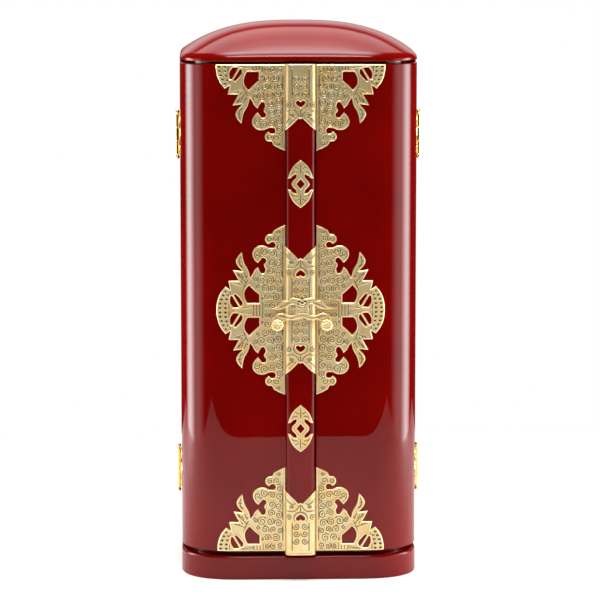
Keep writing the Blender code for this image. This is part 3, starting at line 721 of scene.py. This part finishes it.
def chase(name, outlines, lines, pits=(), thickness=0.9, dotted=1.0, bead=0.3):
    """Make a flat sheet with chased relief; lines and pits are in mm, the mesh in metres."""
    edges = [drawn(outline) for outline in outlines]
    low, high = edges[0].min(0) - GRID, edges[0].max(0) + GRID
    columns, rows = [int((high[i] - low[i]) / GRID) for i in (0, 1)]
    bpy.ops.object.select_all(action="DESELECT")
    bpy.ops.mesh.primitive_grid_add(x_subdivisions=columns, y_subdivisions=rows, size=1)
    sheet = bpy.context.object
    sheet.name = name
    form = bmesh.new()
    form.from_mesh(sheet.data)
    for point in form.verts:
        point.co.x = (low[0] + high[0]) / 2 + point.co.x * (high[0] - low[0])
        point.co.y = (low[1] + high[1]) / 2 + point.co.y * (high[1] - low[1])
    middles = np.array([face.calc_center_median().xy[:] for face in form.faces])
    within = inside(edges, middles)
    outside = [face for face, kept in zip(form.faces[:], within) if not kept]
    bmesh.ops.delete(form, geom=outside, context="FACES")
    form.verts.ensure_lookup_table()
    places = np.array([point.co.xy[:] for point in form.verts])
    rim = np.array([point.is_boundary for point in form.verts])
    from_edge, foot = distance_to(edges, places)
    places[rim] = foot[rim]
    from_edge[rim] = 0
    from_line, _ = distance_to(lines, places, 3.0) if lines else (np.full(len(places), 3.0), 0)
    # Raised bead along the edges, and a soft step down inside it.
    height = bead * np.exp(-((from_edge - 0.95) / 0.5) ** 2) - 0.25 * (1 - ease(from_edge, 0, 0.5))
    # Painted shade: a dark line at the foot of the bead.
    dark = 0.55 * np.exp(-((from_edge - 1.9) / 0.35) ** 2)
    # Scrolls: a groove with raised lips.
    open_ground = ease(from_edge, 1.2, 2.2)
    height += open_ground * (0.2 * np.exp(-((from_line - 0.95) / 0.4) ** 2)
                             - 0.28 * np.exp(-(from_line / 0.48) ** 2))
    # Grime and painted shade along the grooves.
    dark = np.maximum(dark, open_ground * np.exp(-(from_line / 0.62) ** 2))
    # Punched ground: round marks in staggered rows, left out beside the scrolls.
    pitch = 1.25
    row = places[:, 1] / (pitch * 0.87)
    stagger = np.floor(row) % 2 * 0.5
    across = (places[:, 0] / pitch + stagger) % 1 - 0.5
    up = row % 1 - 0.5
    mark = np.exp(-(across ** 2 + up ** 2) / 0.045)
    ground = dotted * ease(from_edge, 1.8, 2.6) * ease(from_line, 0.9, 1.5)
    height += ground * (0.12 * mark - 0.1)
    # Painted shade on the punched ground between the marks.
    dark = np.maximum(dark, 0.32 * ground * (1 - mark))
    for u, v, radius in pits:
        away = np.hypot((places[:, 0] - u) / 1.35, places[:, 1] - v) / radius
        height += 0.22 * np.exp(-((away - 1.2) / 0.3) ** 2) - 0.5 * (1 - ease(away, 0.5, 1.0))
        # Painted shade inside the pits.
        dark = np.maximum(dark, 1 - ease(away, 0.6, 1.05))
    for point, (u, v), rise in zip(form.verts, places, height):
        point.co = (u * MM, v * MM, rise * MM)
    shade = form.verts.layers.float.new("grime_and_painted_shade")
    for point, share in zip(form.verts, dark):
        point[shade] = float(share)
    border = [edge for edge in form.edges if edge.is_boundary]
    wall = bmesh.ops.extrude_edge_only(form, edges=border)["geom"]
    lower = [part for part in wall if isinstance(part, bmesh.types.BMVert)]
    for point in lower:
        point.co.z = -thickness * MM
    bottom = [part for part in wall if isinstance(part, bmesh.types.BMEdge)]
    bmesh.ops.triangle_fill(form, use_beauty=False, edges=bottom)
    bmesh.ops.recalc_face_normals(form, faces=form.faces)
    form.to_mesh(sheet.data)
    form.free()
    print(name, "points:", len(sheet.data.vertices))
    return sheet


# %% [markdown]
# ## Lay the sheets on the doors
# A flat sheet is wrapped round the cabinet by measuring along the face: u becomes a length
# along the front and round the corner, and the sheet's own height becomes a distance
# from the face. The moulding has its own such rule.

# %% Helpers that wrap a sheet
turns = np.radians(np.linspace(0, 90, 181))
corner_places = np.array([corner_point(turn) for turn in turns])
corner_lengths = np.concatenate([[0], np.cumsum(np.linalg.norm(np.diff(corner_places, axis=0),
                                                               axis=1))])


def on_shell(along, lift):
    """Places on the doors and sides, by the length along the face from the middle."""
    past = np.abs(along) - FLAT_HALF
    turn = np.interp(past, corner_lengths, turns)
    x = np.interp(past, corner_lengths, corner_places[:, 0])
    y = np.interp(past, corner_lengths, corner_places[:, 1])
    x = np.where(past <= 0, np.abs(along), x)
    y = y + np.maximum(past - corner_lengths[-1], 0)
    return np.sign(along) * (x + lift * np.sin(turn)), y - lift * np.cos(turn)


BAR_HALF = bar_high.x


def on_bar(along, lift):
    """Places on the upright moulding, by the length across its face from the middle."""
    flat = BAR_HALF - BAR_RADIUS
    past = np.abs(along) - flat
    turn = np.clip(past / BAR_RADIUS, 0, math.pi / 2)
    reach = BAR_RADIUS + lift
    x = np.where(past <= 0, np.abs(along), flat + reach * np.sin(turn))
    y = bar_low.y + BAR_RADIUS - reach * np.cos(turn)
    y = y + np.maximum(past - BAR_RADIUS * math.pi / 2, 0)
    return np.sign(along) * x, y


def wrap(sheet, name, start, height, across, upward, surface, lift):
    """Copy a flat sheet, turn it the right way round and lay it on a surface."""
    mesh = sheet.data.copy()
    piece = bpy.data.objects.new(name, mesh)
    bpy.context.scene.collection.objects.link(piece)
    places = np.empty(len(mesh.vertices) * 3)
    mesh.vertices.foreach_get("co", places)
    places = places.reshape(-1, 3)
    x, y = surface(start + across * places[:, 0], lift + places[:, 2])
    z = height + upward * places[:, 1]
    mesh.vertices.foreach_set("co", np.stack([x, y, z], axis=1).ravel())
    if across * upward < 0:
        mesh.flip_normals()
    mesh.update()
    return piece


# %% [markdown]
# ## The six plates
# The whole plate at mid height and the half plates at both ends share one design: hooked
# clouds along the seam, a round boss, three leaf blades and a fan of scales.

# %% Chase the plates
plate_scrolls = [
    (9.5, 79.5, 4.4, 200, 1.5), (17, 79.6, 3.4, 120, -1.3), (7.2, 87.5, 2.6, 60, -1.2),
    (6.5, 71, 4.0, 90, 1.6), (7, 61.5, 4.8, 270, -1.6), (14.8, 63.6, 4.2, 0, 1.5),
    (23, 65.5, 4.4, 60, -1.5), (30.6, 62.4, 3.8, 300, 1.3), (26.6, 59.4, 1.6, 0, 1.0),
    (7, 51, 4.8, 100, 1.7), (15, 52.5, 4.4, 280, -1.6), (7.4, 41, 4.4, 80, 1.5),
    (16, 43, 4.2, 200, -1.6), (8, 31.5, 4.6, 0, 1.6), (17, 33.6, 4.4, 120, 1.6),
    (26.2, 34, 5.4, 150, -1.7), (33.6, 34.6, 3.0, 30, 1.4), (22.6, 24.5, 4.4, 220, -1.5),
    (31, 26.6, 2.6, 90, 1.2), (13.6, 24.4, 3.6, 300, 1.5), (5.8, 22.5, 3.6, 180, -1.5),
    (10.6, 14.8, 4.8, 45, 1.6), (20, 15.2, 4.2, 200, -1.5), (25.8, 13, 2.0, 20, 1.0),
    (5.6, 6.2, 3.4, 250, 1.4), (13.6, 5.4, 3.4, 60, -1.4), (20.4, 5.6, 3.0, 160, 1.4)]
plate_strokes = [
    [(25, 0.5), (25, 8.4)], [(28.4, 0.5), (28.4, 7)], [(31.8, 0.5), (31.8, 6.6)],
    [(35.4, 0.5), (35.4, 6.6)], [(36.4, 4.2), (48, 2.6), (57, 1.4)],
    [(41.5, 34), (45, 27), (47, 18), (45.5, 10.5)], [(45, 27), (53, 29.6), (60, 32)],
    [(43.5, 31), (49.5, 37.4), (55.8, 43)], [(42.6, 36), (47.6, 46.8), (50.6, 54), (48.8, 61.6)],
    [(47.6, 30.4), (49, 33)], [(51, 29), (52, 32)], [(54, 30), (55.6, 32.4)],
    [(46.4, 36.4), (49, 40.4)], [(49.8, 38), (52.6, 42.6)], [(45.6, 44), (49.6, 47)],
    [(47.4, 49), (51.6, 50.8)], [(49, 54), (52.6, 55)], [(40.5, 38.6), (43.6, 37.4)],
    [(62.2, 1), (62.4, 8), (61.6, 16), (60.6, 20.4)], [(32.8, 41.6), (34.4, 40.6), (34.6, 38.6)],
    [(24, 29.4), (21.8, 28.4)], [(3, 12), (3, 28)], [(3, 36), (3, 48)], [(3, 55), (3, 68)]]
plate_pits = [(72.4, 2.5, 1.5), (72, 7.3, 1.5), (70.6, 12, 1.5), (68.6, 16.6, 1.4),
              (66, 21, 1.3), (66.2, 2.5, 1.5), (66, 7.4, 1.5), (65, 12.3, 1.4),
              (63.6, 17, 1.2)]
upper_lines = [scroll(*values) for values in plate_scrolls]
upper_lines += [drawn([bend(*place) for place in stroke], closed=False)
                for stroke in plate_strokes]
mirrored_down = np.array([1, -1])
lower_lines = [line * mirrored_down for line in upper_lines]
lower_pits = [(u, -v, radius) for u, v, radius in plate_pits]
half_sheet = chase("half_sheet", half_plate, upper_lines, plate_pits)
whole_sheet = chase("whole_sheet", whole_plate, upper_lines + lower_lines,
                    plate_pits + lower_pits)

PLATE_LIFT = 1.2 * MM
for side, across in (("left", -1), ("right", 1)):
    for level, sheet, upward in (("top", half_sheet, -1), ("middle", whole_sheet, 1),
                                 ("bottom", half_sheet, 1)):
        node = f"{side}_{level}_plate"
        low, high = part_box(node)
        start = high.x if side == "left" else low.x
        height = {"top": high.z, "middle": (low.z + high.z) / 2, "bottom": low.z}[level]
        plate = wrap(sheet, node + "_chased", start, height, across, upward, on_shell,
                     PLATE_LIFT)
        finish_piece(plate, side + "_door", [gilt], [node], angle=60)
for sheet in (half_sheet, whole_sheet):
    bpy.data.objects.remove(sheet, do_unlink=True)

# %% [markdown]
# ## The sleeves
# Three sleeves clasp the moulding. Each ends in a notch between two long tips, with a
# heart pierced behind it. They are chased flat like the plates and then folded round the
# moulding.

# %% Chase the sleeves
SLEEVE_RIM = 20.1
END = [corner(SLEEVE_RIM, 0), bend(SLEEVE_RIM * 0.8, 1.4), bend(SLEEVE_RIM * 0.42, 7.7),
       corner(SLEEVE_RIM * 0.12, 14), corner(0, 13)]
HEART = [corner(0, 25.8), bend(3.4, 28.2), bend(5.2, 31.2), bend(3, 33.2), corner(0, 31.6),
         bend(-3, 33.2), bend(-5.2, 31.2), bend(-3.4, 28.2)]


def moved(points, up, flip=1):
    """Move an outline up, after turning it upside down where flip is -1."""
    return [(u, up + flip * v, kind) for u, v, kind in points]


def end_work(reach):
    """Lines cut into one end of a sleeve, from its notch up to a length."""
    strokes = [[(0, 13.8), (0, 24.4)], [(1.2, 15), (3.4, 19.4), (8, 22.6), (14.5, 22)],
               [(0.8, 23.4), (5, 25), (7.4, 29), (6.6, 33.6)],
               [(5, 13.4), (8.6, 14.6), (13, 12), (17.4, 6.6)],
               [(9.4, 36), (9.4, reach - 2)]]
    lines = [drawn([bend(*place) for place in stroke], closed=False) for stroke in strokes]
    rows = int((reach - 36) / 8.4)
    lines += [scroll(4.6, 39.6 + 8.4 * row, 3.9, 180 * (row % 2), 1.5 - 3 * (row % 2))
              for row in range(rows)]
    lines += [scroll(13.4, 28.6, 3.2, 90, 1.4), scroll(9.4, 17.6, 2.2, 30, -1.2)]
    return lines + [line * np.array([-1, 1]) for line in lines]


sleeves = {}
for name, length in (("top", 73.0), ("bottom", 72.5)):
    outline = both_sides([corner(SLEEVE_RIM, length)] + END)
    sleeves[name] = chase(name + "_flat", [outline, HEART], end_work(length - 4),
                          thickness=0.7, dotted=0.7, bead=0.22)
outline = both_sides(moved(END, -71.5)[::-1] + moved(END, 71.5, -1))
work = [line + np.array([0, -71.5]) for line in end_work(70)]
work += [line * mirrored_down for line in work]
sleeves["middle"] = chase("middle_flat", [outline, moved(HEART, -71.5), moved(HEART, 71.5, -1)],
                          work, thickness=0.7, dotted=0.7, bead=0.22)
SLEEVE_LIFT = 0.95 * MM
DIAMOND_LIFT = 1.05 * MM
for name, sheet in sleeves.items():
    low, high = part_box(name + "_sleeve")
    height = {"top": low.z, "middle": (low.z + high.z) / 2, "bottom": high.z}[name]
    upward = -1 if name == "bottom" else 1
    sleeve = wrap(sheet, name + "_sleeve_chased", 0, height, 1, upward, on_bar, SLEEVE_LIFT)
    finish_piece(sleeve, "left_door", [gilt], [name + "_sleeve"], angle=60)
    bpy.data.objects.remove(sheet, do_unlink=True)

# %% [markdown]
# ## The diamonds
# Two small diamonds with a pierced middle sit on the moulding, between the sleeves. Both
# are one sheet, drawn as a quarter and mirrored, and laid on the moulding twice.

# %% Chase the diamonds
quarter = [bend(9.6, 0), corner(4.6, 7.2), corner(4.2, 10.8), bend(8.4, 9.2), bend(11, 6.6),
           corner(13.8, 6), bend(11.8, 11.8), bend(9.6, 17), bend(6, 21.6), corner(0, 26.4)]
outline = both_sides(flipped(quarter[1:]) + quarter)
opening = both_sides([corner(0, -5.4), corner(4.6, 0), corner(0, 5.4)])
strokes = [[(4, 14), (8, 13.2), (11.4, 10)], [(2, 16.4), (5.4, 18.4)], [(0, 12), (0, 22)]]
work = [drawn([bend(*place) for place in stroke], closed=False) for stroke in strokes]
work += [line * mirrored_down for line in work]
work += [line * np.array([-1, 1]) for line in work]
diamond_sheet = chase("diamond_flat", [outline, opening], work, thickness=0.8, dotted=0.6,
                      bead=0.25)
for level in ("upper", "lower"):
    low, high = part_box(level + "_diamond")
    diamond = wrap(diamond_sheet, level + "_diamond_chased", 0, (low.z + high.z) / 2, 1, 1,
                   on_bar, DIAMOND_LIFT)
    finish_piece(diamond, "left_door", [gilt], [level + "_diamond"], angle=60)
bpy.data.objects.remove(diamond_sheet, do_unlink=True)

# %% [markdown]
# ## The latch
# The latch is an openwork bar: a lily in the middle between two wings, over two ribbons
# that end in lugs. The left lug turns on one stud, and the right one rests on the other.
# It is thicker than the plates and lies flat in front of them.

# %% Chase the latch
_, latch_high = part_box("latch")
stud_low, stud_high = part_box("left_stud")
right_low, right_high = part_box("right_stud")
STUD_Z = (stud_low.z + stud_high.z) / 2
STUD_REACH = 27.2
LATCH_THICKNESS = 1.6
LATCH_X = (stud_low.x + stud_high.x + right_low.x + right_high.x) / 4


def latch_half(lug):
    """Half of the latch's outline, outwards from its middle."""
    foot = [corner(0, 8.6), bend(5.6, 6.4), bend(11.6, 5.2), bend(17, 5.8)]
    ribbon = [corner(32.6, 8), bend(27.4, 12.2), bend(22.2, 13.2), bend(16, 11.2),
              bend(10.6, 10.6)]
    under_wing = [corner(7, 12.4), corner(7, 22.4), bend(13, 22.2), bend(18.2, 19.4),
                  bend(26, 17.2)]
    crest = [corner(34.2, 18), bend(27.4, 20.6), bend(22.8, 25.4), corner(20.2, 27.4),
             bend(16.4, 27), corner(13.6, 29.2), bend(9.8, 30.4), bend(6.4, 29.6),
             corner(2.8, 29), corner(0, 35)]
    return foot + lug + ribbon + under_wing + crest


def arc(u, v, radius, start, end, steps):
    """Points along an arc, with its angles in degrees."""
    angles = np.radians(np.linspace(start, end, steps + 1))
    return [corner(u + radius * math.cos(a), v + radius * math.sin(a)) for a in angles]


right_half = latch_half([corner(25, 2.6), corner(29.4, 2.6)])
left_half = latch_half(arc(STUD_REACH, 0, 5.2, 155, 385, 24))
outline = right_half + [(-u, v, kind) for u, v, kind in reversed(left_half) if u > 0]
bore = arc(-STUD_REACH, 0, 2.6, 0, 345, 23)
strokes = [[(8.6, 24.6), (15, 24.4), (21, 21.6), (30, 18.8)], [(9, 27), (14, 27), (19, 25)],
           [(4, 8.6), (11.6, 7.4), (18, 8.2), (25, 10)], [(12, 9), (18, 9.8), (24, 11.4)],
           [(0.4, 14), (5.6, 14)], [(0.4, 16.8), (5.6, 16.8)], [(0.4, 19.6), (5.6, 19.6)],
           [(3.2, 22.4), (4.6, 25), (3.4, 27.6)]]
work = [drawn([bend(*place) for place in stroke], closed=False) for stroke in strokes]
work += [line * np.array([-1, 1]) for line in work]
lily = [(0, 30, 1.5), (-3, 26, 1.3), (3, 26, 1.3), (0, 24.6, 1.6), (0, 21.8, 1.0)]
latch_sheet = chase("latch_flat", [outline, bore], work, lily,
                    thickness=LATCH_THICKNESS, dotted=0.0, bead=0.25)


def on_plane(along, lift):
    """Places on a flat plane at the back of the latch."""
    return along, latch_high.y - lift


latch = wrap(latch_sheet, "latch_chased", LATCH_X, STUD_Z, 1, 1, on_plane,
             LATCH_THICKNESS * MM)
finish_piece(latch, "latch", [gilt], ["latch"], angle=60)
bpy.data.objects.remove(latch_sheet, do_unlink=True)

# %% [markdown]
# ## The two studs
# Each stud has a rosette of eight petals for a head. Half its outline is drawn as a line
# of points and spun round the stud's axis, and the petals are then pressed into the head.

# %% Turn the studs
for name in ("left", "right"):
    low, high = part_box(name + "_stud")
    centre = Vector(((low.x + high.x) / 2, 0, (low.z + high.z) / 2))
    front, back = -low.y / MM, -high.y / MM
    profile = [(0, front - 0.5), (1.0, front - 0.1), (1.9, front - 0.5), (2.2, front - 1.2),
               (2.7, front - 1.1), (3.6, front - 0.5), (4.6, front - 0.5), (5.6, front - 0.9),
               (6.4, front - 1.5), (6.7, front - 2.1), (6.5, front - 2.7), (2.2, front - 2.8),
               (2.2, back + 1), (3.6, back + 0.9), (3.6, back + 0.1), (0, back)]
    bpy.ops.object.select_all(action="DESELECT")
    bpy.ops.mesh.primitive_plane_add(size=1)
    stud = bpy.context.object
    stud.name = name + "_rosette_stud"
    form = bmesh.new()
    points = [form.verts.new((centre.x + radius * MM, -depth * MM, centre.z))
              for radius, depth in profile]
    for first, second in zip(points, points[1:]):
        form.edges.new((first, second))
    form.to_mesh(stud.data)
    form.free()
    pick(stud, "EDGE", lambda e: True)
    bpy.ops.mesh.spin(steps=96, angle=2 * math.pi, center=centre, axis=(0, 1, 0))
    bpy.ops.mesh.select_all(action="SELECT")
    bpy.ops.mesh.remove_doubles(threshold=0.00002)
    bpy.ops.mesh.normals_make_consistent(inside=False)
    leave_edit()
    for point in stud.data.vertices:
        across, up = point.co.x - centre.x, point.co.z - centre.z
        radius = math.hypot(across, up)
        if radius > 2.4 * MM and point.co.y < -(front - 2.75) * MM:
            petal = abs(math.cos(4 * math.atan2(up, across)))
            share = min(1, (radius / MM - 2.4) / 1.5)
            point.co.y += 0.45 * MM * share * (1 - petal) ** 2
            scale = 0.93 + 0.07 * petal ** 0.5
            point.co.x = centre.x + across * scale
            point.co.z = centre.z + up * scale
    finish_piece(stud, name + "_door", [gilt], [name + "_stud"], angle=60)

# %% [markdown]
# ## The hinges
# Each hinge has two leaves cut like a spray of foliage, three knuckles and a pin with a
# ball at each end. Hinges are polished where the plates are chased, so they get a smoother
# brass with the fine rings of the lathe, a few soft clouds in its colour, and the same
# grime and painted shade in the leaves' veins and pits.

# %% Make the hinge brass
hinge_brass, tree, shader, place = new_finish("polished_hinge_brass")
grime_and_painted_shade = add_node(tree, "Attribute", attribute_name="grime_and_painted_shade").outputs["Fac"]
rings = add_node(tree, "TexWave", {"Vector": place, "Scale": 1 / (5 * MM), "Distortion": 0.4,
                                   "Detail": 1}, bands_direction="Z")
tone = add_node(tree, "TexNoise", {"Vector": place, "Scale": 1 / (9 * MM), "Detail": 3})
warmth = add_node(tree, "ValToRGB", {"Fac": tone.outputs["Fac"]})
warmth.color_ramp.elements[0].color = linear("ffe3a8")
warmth.color_ramp.elements[1].color = linear("f2c574")
# Darker in the veins and pits: partly grime, partly painted shade.
grimed_and_shaded = add_node(tree, "Mix", {0: grime_and_painted_shade, 6: warmth.outputs["Color"], 7: linear("2a1c08")},
                data_type="RGBA")
tree.links.new(grimed_and_shaded.outputs[2], shader.inputs["Base Color"])
shader.inputs["Metallic"].default_value = 1.0
shader.inputs["Roughness"].default_value = 0.16
turned = add_node(tree, "Bump", {"Height": rings.outputs["Fac"], "Strength": 0.08,
                                 "Distance": 0.1 * MM})
tree.links.new(turned.outputs["Normal"], shader.inputs["Normal"])
print("made", hinge_brass.name)

# %% [markdown]
# ## The hinges' leaves and pins
# One leaf is chased flat and laid eight times, forwards on the doors and backwards on the
# case. Knuckles and tabs are joined to it, and the pin runs through the knuckles.

# %% Make the hinges
AXIS_X = HALF_WIDTH + 3 * MM
AXIS_Y = -28 * MM
KNUCKLE_RADIUS = 2.6 * MM
PIN_RADIUS = 1.2 * MM
BALL_RADIUS = 2.5 * MM
HINGE_LEAF_LIFT = 0.85 * MM
HINGE_ALONG = FLAT_HALF + corner_lengths[-1] + AXIS_Y - CORNER_Y
KNUCKLE = 15
spray = [bend(10, 20.5), bend(14.5, 15), corner(12.8, 10.5), bend(19, 7)]
outline = [corner(3.1, 22.5)] + spray + [corner(24, 0)] + flipped(spray) + [corner(3.1, -22.5)]
veins = [[(5, 3), (12, 1.4), (20, 0.6)], [(5.4, 9), (9, 6.6), (15, 5.6)],
         [(5.6, 18), (8.6, 14), (11.6, 12.6)]]
veins = [drawn([bend(*point) for point in stroke], closed=False) for stroke in veins]
veins += [line * mirrored_down for line in veins]
leaf_sheet = chase("leaf_flat", [outline], veins, [(7, 11.4, 0.9), (7, -11.4, 0.9)],
                   thickness=0.7, dotted=0.0, bead=0.15)


def joined(name, parts):
    """Join pieces into one, with its origin at the frame's."""
    bpy.ops.object.select_all(action="DESELECT")
    for part in parts:
        part.select_set(True)
    bpy.context.view_layer.objects.active = parts[0]
    if len(parts) > 1:
        bpy.ops.object.join()
    piece = bpy.context.object
    bpy.ops.object.transform_apply(location=True, rotation=True, scale=True)
    piece.name = name
    return piece


def turned_rod(name, side, low, high, radius, ball=0):
    """A rod on a hinge's axis with softened ends, and a ball on each where wanted."""
    bpy.ops.object.select_all(action="DESELECT")
    bpy.ops.mesh.primitive_cylinder_add(vertices=48, radius=radius, depth=high - low,
                                        location=(side * AXIS_X, AXIS_Y, (low + high) / 2))
    rod = bpy.context.object
    round_edges(rod, min(0.4 * MM, radius * 0.3), 3, 60)
    parts = [rod]
    for height in ((low, high) if ball else ()):
        bpy.ops.object.select_all(action="DESELECT")
        bpy.ops.mesh.primitive_uv_sphere_add(segments=48, ring_count=24, radius=ball,
                                             location=(side * AXIS_X, AXIS_Y, height))
        parts.append(bpy.context.object)
    return joined(name, parts)


for side_name, side in (("left", -1), ("right", 1)):
    for level in ("upper", "lower"):
        start = f"{side_name}_{level}_"
        pin_low, pin_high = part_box(start + "hinge_pin")
        height = (pin_low.z + pin_high.z) / 2
        for kind, ahead, places in (("case", 1, (1, -1)), ("door", -1, (0,))):
            leaf = wrap(leaf_sheet, start + "leaf", side * HINGE_ALONG, height, side * ahead, 1,
                        on_shell, HINGE_LEAF_LIFT)
            parts = [leaf]
            for index in places:
                middle = height + index * KNUCKLE * MM
                half = (KNUCKLE - 0.5) / 2 * MM
                parts.append(turned_rod("knuckle", side, middle - half, middle + half,
                                        KNUCKLE_RADIUS))
                tab = block("tab", (-1, -1, -1), (1, 1, 1))
                tab.scale = (0.5 * MM, 1.9 * MM, half - 0.6 * MM)
                tab.location = (side * (AXIS_X - 2.4 * MM), AXIS_Y + ahead * 1.9 * MM, middle)
                parts.append(tab)
            hinge = joined(start + kind + "_hinge_half", parts)
            body = "case" if kind == "case" else side_name + "_door"
            finish_piece(hinge, body, [hinge_brass],
                         [start + kind + "_leaf"], angle=40)
        pin = turned_rod(start + "ball_pin", side, pin_low.z + BALL_RADIUS,
                         pin_high.z - BALL_RADIUS, PIN_RADIUS, BALL_RADIUS)
        finish_piece(pin, "case", [hinge_brass], [start + "hinge_pin"], angle=40)
bpy.data.objects.remove(leaf_sheet, do_unlink=True)

# %% [markdown]
# ## The floor and the ceiling inside
# Two boards close the case above and below. Their faces are laid with squares of gold
# leaf, and their rims are lacquered, so the gap under the doors stays dark.

# %% Model the two boards
for name in ("floor_board", "ceiling_board"):
    low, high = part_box(name)
    inner = block(name + "_laid", low, high)
    round_front_corners(inner, 56 * MM, low.y, 24)
    round_edges(inner, 0.5 * MM, 2)
    finish_piece(inner, "case", [lacquer, gold_ground], [name])
    for face in inner.data.polygons:
        face.material_index = int(abs(face.normal.z) > 0.5)

# %% [markdown]
# ## Count the frame nodes still shown
# The number of plain frame solids that are still rendered, because no dressed piece took
# their place, is printed.

# %% Count the frame nodes still shown
print("frame nodes still shown:", sum(not n.hide_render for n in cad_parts.values()))
